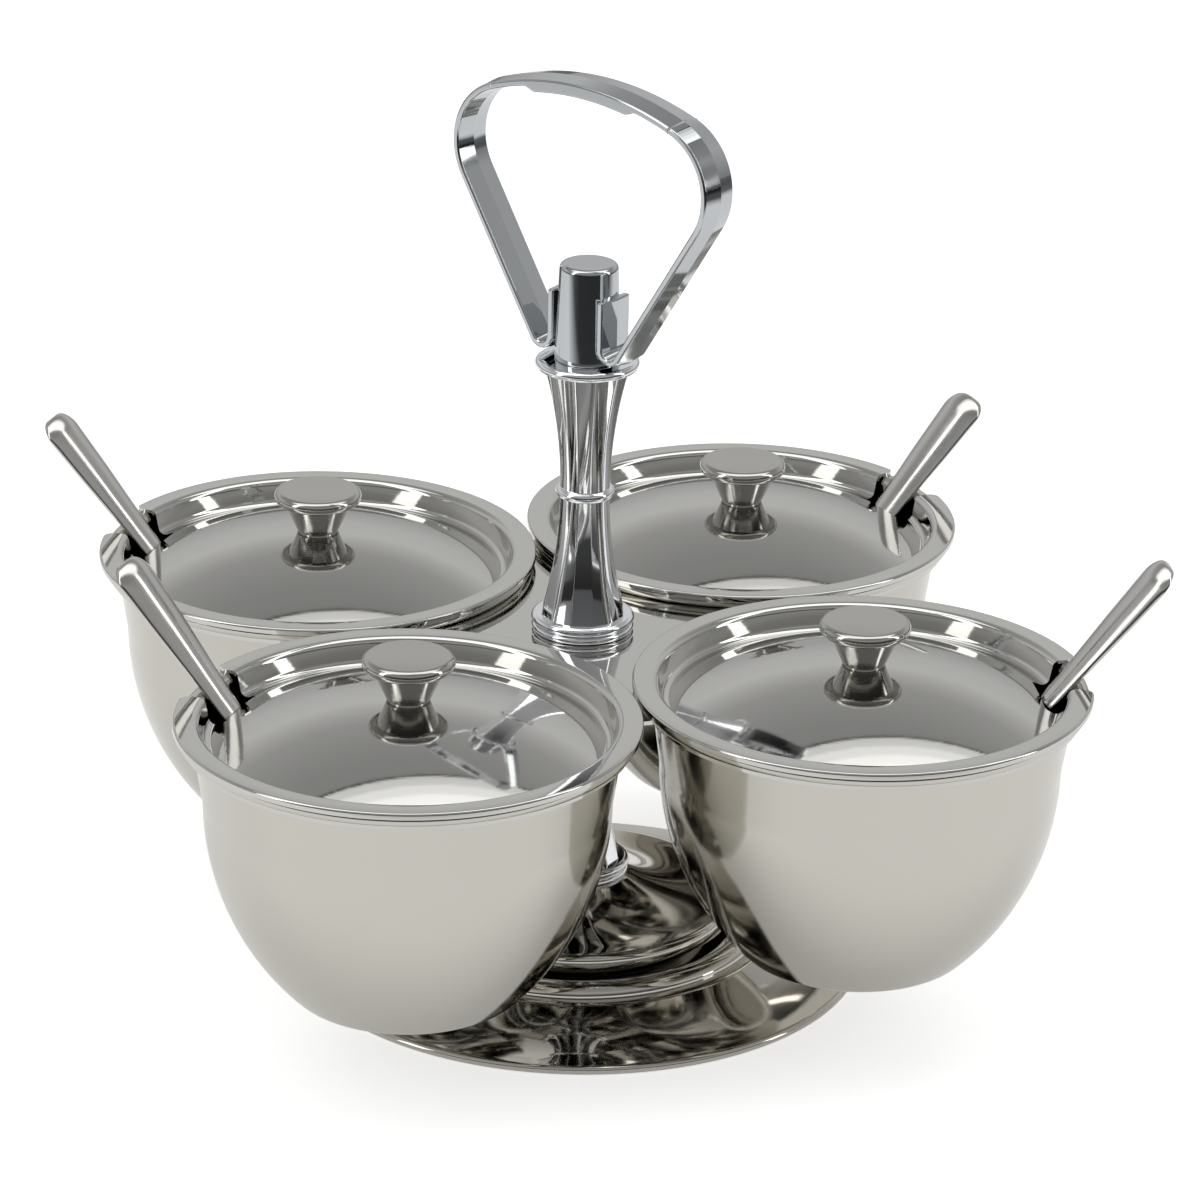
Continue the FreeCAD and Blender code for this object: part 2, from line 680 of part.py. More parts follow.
def lid_slot(tilt):
    """Cutter for the spoon's slot, with rounded corners where it meets the lid's edge."""
    half = SLOT_W / 2
    end = slot_end(tilt)
    corner_y = half + SLOT_CORNER_R
    corner_x = math.sqrt((LID_R - SLOT_CORNER_R) ** 2 - corner_y**2)
    meet = math.degrees(math.atan2(corner_y, corner_x))
    far = polar((0, 0), LID_R + OVERRUN, meet)
    plan = (
        Outline(far[0], -far[1])
        .arc((corner_x, -corner_y), SLOT_CORNER_R, -meet, 90)
        .arc((end + SLOT_END_R, SLOT_END_R - half), SLOT_END_R, 270, 180)
        .arc((end + SLOT_END_R, half - SLOT_END_R), SLOT_END_R, 180, 90)
        .arc((corner_x, corner_y), SLOT_CORNER_R, -90, meet)
        .to(*far)
    )
    return plan_prism(plan, LID_FLOOR - OVERRUN, KNOB_SEAT)


def lid(tilt):
    """Cover with a curled edge, a plug wall, a domed floor, a screw hole and the spoon's slot."""
    shoulder = (BOWL_MOUTH_R - LID_FIT + LID_SHOULDER_R - LID_SHEET, LID_TOP - LID_SHOULDER_R)
    foot = lid_foot()
    dome, dome_r = lid_dome()
    edge = math.degrees(math.atan2(foot[1] - dome[1], foot[0]))
    pad = math.degrees(math.acos(KNOB_PAD_R / dome_r))
    curl = (LID_R - LID_CURL_W, LID_TOP - LID_CURL_W)
    hole = SCREW_R + SCREW_CLEAR
    blank = (
        Outline(hole, KNOB_SEAT - LID_SHEET)
        .arc(dome, dome_r - LID_SHEET, pad, edge)
        .arc(foot, LID_FOOT_R + LID_SHEET, edge - 180, -LID_WALL_LEAN)
        .arc(shoulder, LID_SHOULDER_R - LID_SHEET, 180 - LID_WALL_LEAN, 90)
        .to(curl[0], RIM_TOP)
        .to(curl[0], LID_TOP - LID_CURL_H)
        .to(LID_R, LID_TOP - LID_CURL_H)
        .arc(curl, LID_CURL_W, 0, 90)
        .arc(shoulder, LID_SHOULDER_R, 90, 180 - LID_WALL_LEAN)
        .arc(foot, LID_FOOT_R, -LID_WALL_LEAN, edge - 180)
        .arc(dome, dome_r, edge, pad)
        .to(hole, KNOB_SEAT)
        .turned()
    )
    return blank.cut(lid_slot(tilt))


def knob():
    """Turned knob: short neck, cup and a round-edged cap over a blind screw hole."""
    cap = KNOB_CAP_H / 2
    hole = SCREW_R + SCREW_CLEAR
    shape = (
        Outline(hole, 0)
        .to(KNOB_NECK_R, 0)
        .to(KNOB_NECK_R, KNOB_NECK_H)
        .to(KNOB_CUP_FOOT_R, KNOB_NECK_H)
        .to(KNOB_CUP_TOP_R, KNOB_H - KNOB_CAP_H)
        .arc((KNOB_TOP_R - cap, KNOB_H - cap), cap, -90, 90)
        .to(0, KNOB_H)
        .to(0, SCREW_L - LID_SHEET)
        .to(hole, SCREW_L - LID_SHEET)
        .turned()
    )
    return upright(shape, KNOB_SEAT)


def knob_screw():
    """Round-headed screw up through the lid into the knob."""
    shape = (
        Outline(0, -SCREW_HEAD_H)
        .arc((SCREW_HEAD_R - SCREW_HEAD_H, 0), SCREW_HEAD_H, -90, 0)
        .to(SCREW_R, 0)
        .to(SCREW_R, SCREW_L)
        .to(0, SCREW_L)
        .turned()
    )
    return upright(shape, KNOB_SEAT - LID_SHEET)


def placed(shape, turn, angle):
    """Copy of a shape made about Z, turned and moved to a bowl's place."""
    copy = shape.copy()
    copy.rotate(ORIGIN, Z_AXIS, turn)
    copy.translate(bowl_centre(angle))
    return copy


NODES = {
    "base_pan": base_pan(),
    "pivot_bush": pivot_bush(),
    "lower_race": lower_race(),
    "bearing_balls": bearing_balls(),
    "ball_cage": ball_cage(),
    "upper_race": upper_race(),
    "turning_dome": turning_dome(),
    "dome_collar": dome_collar(),
    "pivot_rod": pivot_rod(),
    "rod_washer": rod_washer(),
    "rod_nut": rod_nut(),
    "post_lower_cone": upright(fluted_cone(POST_CONE_H), POST_FOOT),
    "post_waist_ring": waist_ring(POST_WAIST),
    "post_upper_cone": inverted(fluted_cone(POST_CONE_H), PLATE_UNDER),
    "carrier_plate": carrier_plate(),
    "column_foot_ring": foot_ring(),
    "column_lower_cone": upright(fluted_cone(COLUMN_CONE_H), COLUMN_FOOT),
    "column_waist_ring": waist_ring(COLUMN_WAIST),
    "column_upper_cone": inverted(fluted_cone(COLUMN_CONE_H), HUB_FOOT),
    "handle": handle(),
}

PLAIN = {"bowl": bowl(), "knob": knob(), "knob_screw": knob_screw()}
for place, (angle, turn, tilt) in PLACES.items():
    for kind, shape in {**PLAIN, "lid": lid(tilt), "spoon": spoon(tilt)}.items():
        NODES[f"{kind}_{place}"] = placed(shape, turn, angle)

os.makedirs("parts", exist_ok=True)
for name, shape in NODES.items():
    shape.exportStep(f"parts/{name}.step")
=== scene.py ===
# %% [markdown]
# # Revolving relish server
# Four covered steel bowls hang in a carrier plate that turns on a round base. A fluted post and column
# rise through the middle to a chrome carrying handle, and a spoon leans out of each lid.
# The solids already exist in a shared frame. In this lesson each visible piece is made again as a fine
# mesh in the very same place, so that it can mirror the room smoothly and still move with its solid.

# %% Open the frame
import json
import math

import bmesh
import bpy
from mathutils import Matrix, Vector


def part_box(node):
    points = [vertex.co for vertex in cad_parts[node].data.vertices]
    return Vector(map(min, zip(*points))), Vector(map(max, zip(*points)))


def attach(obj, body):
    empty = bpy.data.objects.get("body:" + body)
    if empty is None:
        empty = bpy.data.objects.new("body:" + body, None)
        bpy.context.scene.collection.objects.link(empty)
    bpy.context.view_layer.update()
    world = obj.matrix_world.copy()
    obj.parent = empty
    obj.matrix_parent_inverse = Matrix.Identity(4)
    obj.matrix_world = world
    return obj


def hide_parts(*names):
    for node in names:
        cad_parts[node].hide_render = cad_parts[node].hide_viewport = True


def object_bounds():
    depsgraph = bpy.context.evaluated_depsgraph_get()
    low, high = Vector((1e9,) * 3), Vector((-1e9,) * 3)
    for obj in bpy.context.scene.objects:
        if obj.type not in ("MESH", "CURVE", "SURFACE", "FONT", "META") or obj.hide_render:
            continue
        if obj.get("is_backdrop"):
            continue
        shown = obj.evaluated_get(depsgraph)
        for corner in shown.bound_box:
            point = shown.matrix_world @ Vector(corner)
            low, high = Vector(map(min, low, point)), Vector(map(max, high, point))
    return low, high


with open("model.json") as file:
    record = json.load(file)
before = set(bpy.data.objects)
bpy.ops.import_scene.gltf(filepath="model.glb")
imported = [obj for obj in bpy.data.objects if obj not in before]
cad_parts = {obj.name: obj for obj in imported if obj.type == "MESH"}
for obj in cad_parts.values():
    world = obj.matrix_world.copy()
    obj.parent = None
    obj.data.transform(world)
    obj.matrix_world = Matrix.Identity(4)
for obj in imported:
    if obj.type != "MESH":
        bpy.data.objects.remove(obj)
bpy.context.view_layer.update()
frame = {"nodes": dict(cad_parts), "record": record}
MM = 0.001


def in_mm(node_name):
    """Lowest and highest corner of a solid, in millimetres."""
    low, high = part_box(node_name)
    return low / MM, high / MM


print("solids in the frame:", len(frame["nodes"]))

# %% [markdown]
# ## Metal finishes
# Everything that shows is metal, and metal gets its look from what it mirrors. A plain mirror would look
# like plastic film, so each finish needs the marks of how it was made. An image texture could hold them, but
# noise nodes stay sharp at any distance and need no picture file. The base is one bare metal shader.

# %% Bare metal and small node helpers
def new_material(name, colour, roughness, metallic=1):
    """Shader with its even values set on its own sockets."""
    made = bpy.data.materials.new(name)
    made.use_nodes = True
    shader = made.node_tree.nodes["Principled BSDF"]
    shader.inputs["Base Color"].default_value = (*colour, 1)
    shader.inputs["Metallic"].default_value = metallic
    shader.inputs["Roughness"].default_value = roughness
    return made, made.node_tree, shader


def node(tree, kind, **values):
    """New node with its input values set by socket name."""
    made = tree.nodes.new(kind)
    for key, value in values.items():
        made.inputs[key.replace("_", " ")].default_value = value
    return made


def spread(tree, source, reach, span):
    """Maps a value from the given reach to the given span."""
    ends = {"From_Min": reach[0], "From_Max": reach[1], "To_Min": span[0], "To_Max": span[1]}
    made = node(tree, "ShaderNodeMapRange", **ends)
    tree.links.new(source, made.inputs["Value"])
    return made.outputs["Result"]


def uneven(tree, shader, height, strength, depth):
    """Presses a height pattern into the shader's surface."""
    bump = node(tree, "ShaderNodeBump", Strength=strength, Distance=depth * MM)
    tree.links.new(height, bump.inputs["Height"])
    tree.links.new(bump.outputs["Normal"], shader.inputs["Normal"])


# %% [markdown]
# ## Turned and polished steel
# Bowls, lids, knobs and the base were spun or turned on a lathe, and a polishing wheel ran round them. Fine
# rings stay behind. A noise that reads only the distance from the axis and the height is the same all the way
# round a piece, so it draws just such rings. A second, coarser noise clouds the polish.

# %% Finish of turned pieces
CLOUD_SCALE = 38.0
CLOUD_DETAIL = 5.0
CLOUD_GRAIN = 0.62
CLOUD_REACH = (0.12, 0.42)
RING_DETAIL = 3.0
RING_GRAIN = 0.6
RING_DEPTH = 0.2


def spun_place(tree):
    """Place on the piece, and the same place measured only outward and upward."""
    place = tree.nodes.new("ShaderNodeTexCoord")
    split = tree.nodes.new("ShaderNodeSeparateXYZ")
    flat = tree.nodes.new("ShaderNodeVectorMath")
    flat.operation = "MULTIPLY"
    flat.inputs[1].default_value = (1, 1, 0)
    radius = tree.nodes.new("ShaderNodeVectorMath")
    radius.operation = "LENGTH"
    join = tree.nodes.new("ShaderNodeCombineXYZ")
    tree.links.new(place.outputs["Object"], split.inputs[0])
    tree.links.new(place.outputs["Object"], flat.inputs[0])
    tree.links.new(flat.outputs["Vector"], radius.inputs[0])
    tree.links.new(radius.outputs["Value"], join.inputs["X"])
    tree.links.new(split.outputs["Z"], join.inputs["Z"])
    return place.outputs["Object"], join.outputs["Vector"]


def polished(name, colour, roughness, marks, strength):
    """Turned metal: rings from the lathe, and cloudy patches in the polish."""
    made, tree, shader = new_material(name, colour, roughness[0])
    place, spun = spun_place(tree)
    rings = node(tree, "ShaderNodeTexNoise", Scale=marks, Detail=RING_DETAIL, Roughness=RING_GRAIN)
    cloud = node(tree, "ShaderNodeTexNoise", Scale=CLOUD_SCALE, Detail=CLOUD_DETAIL, Roughness=CLOUD_GRAIN)
    tree.links.new(spun, rings.inputs["Vector"])
    tree.links.new(place, cloud.inputs["Vector"])
    both = tree.nodes.new("ShaderNodeMath")
    both.operation = "MULTIPLY"
    tree.links.new(rings.outputs["Fac"], both.inputs[0])
    tree.links.new(cloud.outputs["Fac"], both.inputs[1])
    tree.links.new(spread(tree, both.outputs[0], CLOUD_REACH, roughness), shader.inputs["Roughness"])
    uneven(tree, shader, rings.outputs["Fac"], strength, RING_DEPTH)
    return made


LID_STEEL = polished("lid_steel", (0.61, 0.605, 0.58), (0.045, 0.085), marks=900.0, strength=0.03)
BOWL_STEEL = polished("bowl_steel", (0.595, 0.578, 0.526), (0.07, 0.14), marks=1500.0, strength=0.08)
BASE_STEEL = polished("base_steel", (0.62, 0.597, 0.555), (0.04, 0.09), marks=700.0, strength=0.012)
KNOB_STEEL = polished("knob_steel", (0.5, 0.493, 0.47), (0.07, 0.15), marks=1600.0, strength=0.1)
print("turned finishes:", [m.name for m in (LID_STEEL, BOWL_STEEL, BASE_STEEL, KNOB_STEEL)])

# %% [markdown]
# ## Plating and nylon
# The handle and the column are chrome plated, the handle a little duller than the column. The spoons are
# pressed and tumbled, and the screws are zinc plated. None of these was turned, so their marks have no
# direction: a faint wave and a faint haze. The bush and the ball cage are moulded nylon, which is pale,
# slightly mottled and softly pitted.

# %% Finish of plated pieces
HAZE_SCALE = 60.0
HAZE_DETAIL = 6.0
HAZE_GRAIN = 0.65
HAZE_REACH = (0.35, 0.75)
WAVE_SCALE = 85.0
WAVE_DETAIL = 1.0
WAVE_DEPTH = 0.4


def plated(name, colour, roughness, strength):
    """Bright plating: almost a mirror, with faint waviness and haze."""
    made, tree, shader = new_material(name, colour, roughness[0])
    place = tree.nodes.new("ShaderNodeTexCoord").outputs["Object"]
    haze = node(tree, "ShaderNodeTexNoise", Scale=HAZE_SCALE, Detail=HAZE_DETAIL, Roughness=HAZE_GRAIN)
    wave = node(tree, "ShaderNodeTexNoise", Scale=WAVE_SCALE, Detail=WAVE_DETAIL)
    tree.links.new(place, haze.inputs["Vector"])
    tree.links.new(place, wave.inputs["Vector"])
    tree.links.new(spread(tree, haze.outputs["Fac"], HAZE_REACH, roughness), shader.inputs["Roughness"])
    uneven(tree, shader, wave.outputs["Fac"], strength, WAVE_DEPTH)
    return made


COLUMN_CHROME = plated("column_chrome", (0.86, 0.875, 0.9), (0.03, 0.07), strength=0.012)
HANDLE_CHROME = plated("handle_chrome", (0.54, 0.56, 0.575), (0.03, 0.08), strength=0.03)
SPOON_STEEL = plated("spoon_steel", (0.6, 0.59, 0.565), (0.12, 0.26), strength=0.05)
ZINC = plated("zinc", (0.63, 0.64, 0.64), (0.25, 0.4), strength=0.05)
RACE_STEEL = plated("race_steel", (0.6, 0.6, 0.6), (0.12, 0.25), strength=0.05)
print("plated finishes:", [m.name for m in (COLUMN_CHROME, HANDLE_CHROME, SPOON_STEEL, ZINC, RACE_STEEL)])

# %% Finish of moulded pieces
MOTTLE_SCALE = 350.0
MOTTLE_DETAIL = 4.0
PIT_SCALE = 1400.0
PIT_DETAIL = 2.0
PIT_DEPTH = 0.05
PIT_STRENGTH = 0.3


def moulded(name, colour, shade, roughness):
    """Moulded plastic: mottled between two colours, with small pits."""
    made, tree, shader = new_material(name, colour, roughness, 0)
    place = tree.nodes.new("ShaderNodeTexCoord").outputs["Object"]
    mottle = node(tree, "ShaderNodeTexNoise", Scale=MOTTLE_SCALE, Detail=MOTTLE_DETAIL)
    pits = node(tree, "ShaderNodeTexNoise", Scale=PIT_SCALE, Detail=PIT_DETAIL)
    tree.links.new(place, mottle.inputs["Vector"])
    tree.links.new(place, pits.inputs["Vector"])
    mix = tree.nodes.new("ShaderNodeMixRGB")
    mix.inputs["Color1"].default_value = (*colour, 1)
    mix.inputs["Color2"].default_value = (*shade, 1)
    tree.links.new(mottle.outputs["Fac"], mix.inputs["Fac"])
    tree.links.new(mix.outputs["Color"], shader.inputs["Base Color"])
    uneven(tree, shader, pits.outputs["Fac"], PIT_STRENGTH, PIT_DEPTH)
    return made


NYLON = moulded("nylon", (0.87, 0.86, 0.82), (0.78, 0.76, 0.7), 0.45)
print("moulded finish:", NYLON.name)

# %% [markdown]
# ## From an outline to a turned piece
# A lathe piece is fully known from one outline: how far out it reaches at each height. Blender's Screw
# modifier could spin such an outline, but here the mesh is built ring by ring, which gives clean quads and
# real tips on the axis. Arcs are cut into short steps, because a coarse step shows at once in a mirror.

# %% Outlines of straight runs and arcs
ARC_STEP = 9.0
LONG_ARC_STEP = 1.2
SAME_PLACE = 1e-5


def polar(centre, radius, angle):
    """Point at an angle in degrees on a circle."""
    turn = math.radians(angle)
    return centre[0] + radius * math.cos(turn), centre[1] + radius * math.sin(turn)


class Outline:
    """Closed outline of (outward, up) points, from straight runs and arcs."""

    def __init__(self, *start):
        self.points = [start]

    def to(self, *point):
        if math.dist(self.points[-1], point) > SAME_PLACE:
            self.points.append(point)
        return self

    def arc(self, centre, radius, first, last, step=ARC_STEP):
        steps = max(2, math.ceil(abs(last - first) / step))
        for n in range(steps + 1):
            self.to(*polar(centre, radius, first + (last - first) * n / steps))
        return self


def rise_arc(start, end):
    """Centre, radius and end angle of an arc that leaves start level and climbs inward to end."""
    run = start[0] - end[0]
    climb = end[1] - start[1]
    radius = (run * run + climb * climb) / (2 * climb)
    centre = (start[0], start[1] + radius)
    return centre, radius, math.degrees(math.atan2(end[1] - centre[1], end[0] - centre[0]))


print("a quarter bend has", len(Outline(1, 0).arc((0, 0), 1, 0, 90).points), "points")

# %% Rings of vertices
SPIN_STEPS = 192


def skin(bm, rings, closed):
    """Joins rings of vertices with faces; a ring of one vertex is a tip."""
    pairs = zip(rings, rings[1:] + rings[:1]) if closed else zip(rings, rings[1:])
    for a, b in pairs:
        count = max(len(a), len(b))
        if count == 1:
            continue
        for k in range(count):
            corners = [a[k % len(a)], a[(k + 1) % len(a)], b[(k + 1) % len(b)], b[k % len(b)]]
            bm.faces.new(list(dict.fromkeys(corners)))


def spin(bm, outline):
    """Adds a turned solid about Z."""
    turns = [2 * math.pi * k / SPIN_STEPS for k in range(SPIN_STEPS)]
    rings = []
    for out, up in outline.points:
        if out < SAME_PLACE:
            rings.append([bm.verts.new((0, 0, up * MM))])
            continue
        rings.append([bm.verts.new(Vector((out * math.cos(t), out * math.sin(t), up)) * MM) for t in turns])
    skin(bm, rings, True)


print("a turned piece has", SPIN_STEPS, "steps round it")

# %% [markdown]
# ## Objects that ride on the frame
# A mesh becomes an object with smooth shading, and with sharp edges only where the metal is really creased.
# It is then tied to the body of the solid that it stands for, so it follows every pose, and that solid is
# hidden. Placing it by hand would break as soon as the solid moves. Where a piece is turned about its axis,
# the turn goes into the mesh itself, which keeps the box round the object tight.

# %% Objects and their bodies
CREASE_ANGLE = 30.0
BODIES = frame["record"]["behaviour"]["bodies"]
BODY_OF = {member: body for body, members in BODIES.items() for member in members}


def finish_piece(name, bm, material, crease=CREASE_ANGLE):
    """Smooth-shaded object that keeps its creases."""
    bmesh.ops.recalc_face_normals(bm, faces=bm.faces)
    mesh = bpy.data.meshes.new(name)
    bm.to_mesh(mesh)
    bm.free()
    mesh.materials.append(material)
    mesh.shade_smooth()
    mesh.set_sharp_from_angle(angle=math.radians(crease))
    made = bpy.data.objects.new(name, mesh)
    bpy.context.scene.collection.objects.link(made)
    return made


def turned(name, outline, material):
    """Turned object about Z."""
    bm = bmesh.new()
    spin(bm, outline)
    return finish_piece(name, bm, material)


def stands_for(piece, node_name, place=(0, 0, 0), turn=0.0):
    """Puts a piece in its place, on the body of the solid that it replaces."""
    piece.data.transform(Matrix.Rotation(math.radians(turn), 4, "Z"))
    piece.location = Vector(place)
    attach(piece, BODY_OF[node_name])
    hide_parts(node_name)
    return piece


print("bodies that move on their own:", len(set(BODY_OF.values())))

# %% [markdown]
# ## Base pan
# The server stands on a spun steel pan. Its sheet comes up from a rolled edge in a long hollow sweep, turns
# over a round bead and ends in a flat deck that carries the bearing. Both sides of the sheet are drawn, so
# the pan is hollow underneath like the real one and a low view never meets a missing face.

# %% Pan
PAN_SHEET = 1.0
PAN_ROLL_R = 1.2
PAN_FOOT_W = 1.4
PAN_CREASE = (50.5, 8.2)
PAN_BEAD_R = 3.4
PAN_BEAD_AT_R = 45.4
PAN_HOLE_R = 4.85
DECK_DROP = 1.1


def base_pan():
    high = in_mm("base_pan")[1]
    roll = (high.x - PAN_ROLL_R, PAN_ROLL_R)
    skirt, skirt_r, crease = rise_arc((roll[0], 2 * PAN_ROLL_R), PAN_CREASE)
    bead = (PAN_BEAD_AT_R, high.z - PAN_BEAD_R)
    inner = PAN_BEAD_R - PAN_SHEET
    deck_top = high.z - DECK_DROP
    deck = deck_top - bead[1]
    side = math.degrees(math.asin((PAN_CREASE[1] - bead[1]) / PAN_BEAD_R))
    under = polar(skirt, skirt_r + PAN_SHEET, crease)
    outline = (
        Outline(roll[0] - PAN_FOOT_W, 0)
        .to(roll[0], 0)
        .arc(roll, PAN_ROLL_R, -90, 90)
        .arc(skirt, skirt_r, -90, crease, LONG_ARC_STEP)
        .arc(bead, PAN_BEAD_R, side, 180 - math.degrees(math.asin(deck / PAN_BEAD_R)))
        .to(PAN_HOLE_R, deck_top)
        .to(PAN_HOLE_R, deck_top - PAN_SHEET)
        .arc(bead, inner, 180 - math.degrees(math.asin((deck - PAN_SHEET) / inner)), 0)
        .to(inner + bead[0], under[1])
        .arc(skirt, skirt_r + PAN_SHEET, crease, -90, LONG_ARC_STEP)
        .to(roll[0] - PAN_FOOT_W, 2 * PAN_ROLL_R - PAN_SHEET)
    )
    return stands_for(turned("pan", outline, BASE_STEEL), "base_pan")


print("pan faces:", len(base_pan().data.polygons))

# %% [markdown]
# ## Turning dome
# A spun bell covers the bearing and carries the post. Its lip hangs just over the pan's bead, and a slow
# swell climbs to the collar. It is one turned outline again, open below.

# %% Dome
DOME_SHEET = 0.9
DOME_LIP_R = 2.0
DOME_SHELF_R = 35.0
DOME_RISE = 6.0
BORE_R = 3.3


def turning_dome():
    low, high = in_mm("turning_dome")
    collar_r = in_mm("dome_collar")[1].x
    shelf = high.z - DOME_RISE
    lip = (high.x - DOME_LIP_R, shelf - DOME_LIP_R)
    swell, swell_r, end = rise_arc((DOME_SHELF_R, shelf), (collar_r, high.z))
    inner_lip = DOME_LIP_R - DOME_SHEET
    outline = (
        Outline(BORE_R, high.z)
        .to(BORE_R, high.z - DOME_SHEET)
        .to(polar(swell, swell_r + DOME_SHEET, end)[0], high.z - DOME_SHEET)
        .arc(swell, swell_r + DOME_SHEET, end, -90, LONG_ARC_STEP)
        .arc(lip, inner_lip, 90, 0)
        .to(lip[0] + inner_lip, low.z)
        .to(high.x, low.z)
        .arc(lip, DOME_LIP_R, 0, 90)
        .arc(swell, swell_r, -90, end, LONG_ARC_STEP)
    )
    return stands_for(turned("dome", outline, BASE_STEEL), "turning_dome")


print("dome faces:", len(turning_dome().data.polygons))

# %% [markdown]
# ## Rings between the cones
# Plain rings with a half-round edge sit at the dome's top and on the plate, and a barrel-shaped ring hides
# the joint at each waist. A torus would be too round for them, so each gets its own small outline.

# %% Rings
CONE_WAIST_R = 6.5
WAIST_RING_R = 7.45
RING_BITE = 1.0


def plain_ring(node_name):
    """Flat ring with a half-round edge."""
    low, high = in_mm(node_name)
    half = (high.z - low.z) / 2
    outline = Outline(BORE_R, low.z).arc((high.x - half, low.z + half), half, -90, 90).to(BORE_R, high.z)
    stands_for(turned(node_name + "_turned", outline, COLUMN_CHROME), node_name)


def waist_ring(node_name):
    """Barrel-shaped ring round a waist."""
    low, high = in_mm(node_name)
    half = (high.z - low.z) / 2
    swell = WAIST_RING_R - CONE_WAIST_R
    radius = (half * half + swell * swell) / (2 * swell)
    reach = math.degrees(math.asin(half / radius))
    outline = (
        Outline(CONE_WAIST_R - RING_BITE, low.z)
        .arc((WAIST_RING_R - radius, low.z + half), radius, -reach, reach)
        .to(CONE_WAIST_R - RING_BITE, high.z)
    )
    stands_for(turned(node_name + "_turned", outline, COLUMN_CHROME), node_name)


PLAIN_RINGS = ("dome_collar", "column_foot_ring")
WAIST_RINGS = ("post_waist_ring", "column_waist_ring")
for name in PLAIN_RINGS:
    plain_ring(name)
for name in WAIST_RINGS:
    waist_ring(name)
print("rings made:", len(PLAIN_RINGS) + len(WAIST_RINGS))

# %% [markdown]
# ## Post and column
# Each is a pair of cast cones, foot out, that meet at a waist ring. Twelve flat flutes run along them and
# grow narrower towards the waist. Twelve-sided rings give the flats, and a short step beside every corner
# softens the edges. A weighted normal keeps each flat truly flat in the mirror, so it shows one clear stripe.

# %% Fluted cones
FLUTE_COUNT = 12
FLUTE_EDGE_SHARE = 0.1
FLARE_STEPS = 28
CONE_FOOT_R = 10.9
CONE_FLANGE_R = 13.1
CONE_FLANGE_T = 2.4
SPIGOT_H = 1.1
FLUTE_CREASE = 40.0


def flute_ring(bm, radius, level):
    """One twelve-sided ring with a short step beside every corner."""
    turns = [math.radians(360 * k / FLUTE_COUNT) for k in range(FLUTE_COUNT)]
    corners = [Vector((radius * math.cos(t), radius * math.sin(t), level)) for t in turns]
    ring = []
    for k, corner in enumerate(corners):
        for other in (corners[k - 1], corners[(k + 1) % FLUTE_COUNT]):
            ring.append(bm.verts.new(corner.lerp(other, FLUTE_EDGE_SHARE) * MM))
    return ring


def fluted_cone(node_name, upside_down):
    """Flange and fluted flare."""
    low, high = in_mm(node_name)
    run = high.z - low.z - SPIGOT_H - CONE_FLANGE_T
    half = CONE_FLANGE_T / 2
    bm = bmesh.new()
    spin(bm, Outline(BORE_R, 0).arc((CONE_FLANGE_R - half, half), half, -90, 90).to(BORE_R, CONE_FLANGE_T))
    rings = []
    for step in range(FLARE_STEPS + 1):
        share = step / FLARE_STEPS
        radius = CONE_WAIST_R + (CONE_FOOT_R - CONE_WAIST_R) * (1 - share) ** 2
        rings.append(flute_ring(bm, radius, CONE_FLANGE_T + run * share))
    skin(bm, rings, False)
    piece = finish_piece(node_name + "_fluted", bm, COLUMN_CHROME, FLUTE_CREASE)
    piece.modifiers.new("flat_flutes", "WEIGHTED_NORMAL").keep_sharp = True
    if upside_down:
        piece.data.transform(Matrix.Rotation(math.pi, 4, "X"))
    return stands_for(piece, node_name, (0, 0, (high.z if upside_down else low.z) * MM))


for tier in ("post", "column"):
    lower = fluted_cone(tier + "_lower_cone", False)
    upper = fluted_cone(tier + "_upper_cone", True)
    print(tier, "cones:", len(lower.data.polygons), "and", len(upper.data.polygons), "faces")

# %% [markdown]
# ## Carrying handle
# A strap with a low ridge on both faces is bent to a loop that takes four fingers. Its two ends turn up as
# leaves against a round hub, and the strap is thicker under the grip. A curve with a bevel would do for an
# even strap, but the pad changes the section, so the section is carried along the path by hand.

# %% Path of the strap
STRAP_EDGE_T = 1.6
STRAP_RIDGE_T = 2.8
STRAP_LEAF_AT_R = 7.9
STRAP_LIFT = 0.9
BEND_R = 3.0
LOOP_HALF_W = 39.2
LOOP_TOP = 71.4
LOOP_WIDEST = 50.0
LOOP_CROWN_R = 84.0
BEND_STEP = 9.0
SHOULDER_STEP = 4.0
CROWN_STEP = 0.5


def strap_path():
    """Arcs of the strap's middle line in its own plane: centre, radius, first and last angle, step."""
    bend = (STRAP_LEAF_AT_R + BEND_R, STRAP_LIFT + STRAP_RIDGE_T / 2 + BEND_R)
    crown = (0, LOOP_TOP - STRAP_EDGE_T / 2 - LOOP_CROWN_R)
    drop = LOOP_WIDEST - crown[1]
    shoulder_r = (LOOP_CROWN_R**2 - drop**2 - LOOP_HALF_W**2) / (2 * (LOOP_CROWN_R - LOOP_HALF_W))
    shoulder = (LOOP_HALF_W - shoulder_r, LOOP_WIDEST)
    lean = math.degrees(math.atan2(shoulder[1] - bend[1], shoulder[0] - bend[0]))
    normal = lean - math.degrees(math.acos((BEND_R - shoulder_r) / math.dist(bend, shoulder)))
    meet = math.degrees(math.atan2(shoulder[1] - crown[1], shoulder[0]))
    return [
        (bend, BEND_R, 180, 360 + normal, BEND_STEP),
        (shoulder, shoulder_r, normal, meet, SHOULDER_STEP),
        (crown, LOOP_CROWN_R, meet, 180 - meet, CROWN_STEP),
        ((-shoulder[0], shoulder[1]), shoulder_r, 180 - meet, 180 - normal, SHOULDER_STEP),
        ((-bend[0], bend[1]), BEND_R, -180 - normal, 0, BEND_STEP),
    ]


print("strap arcs:", len(strap_path()))

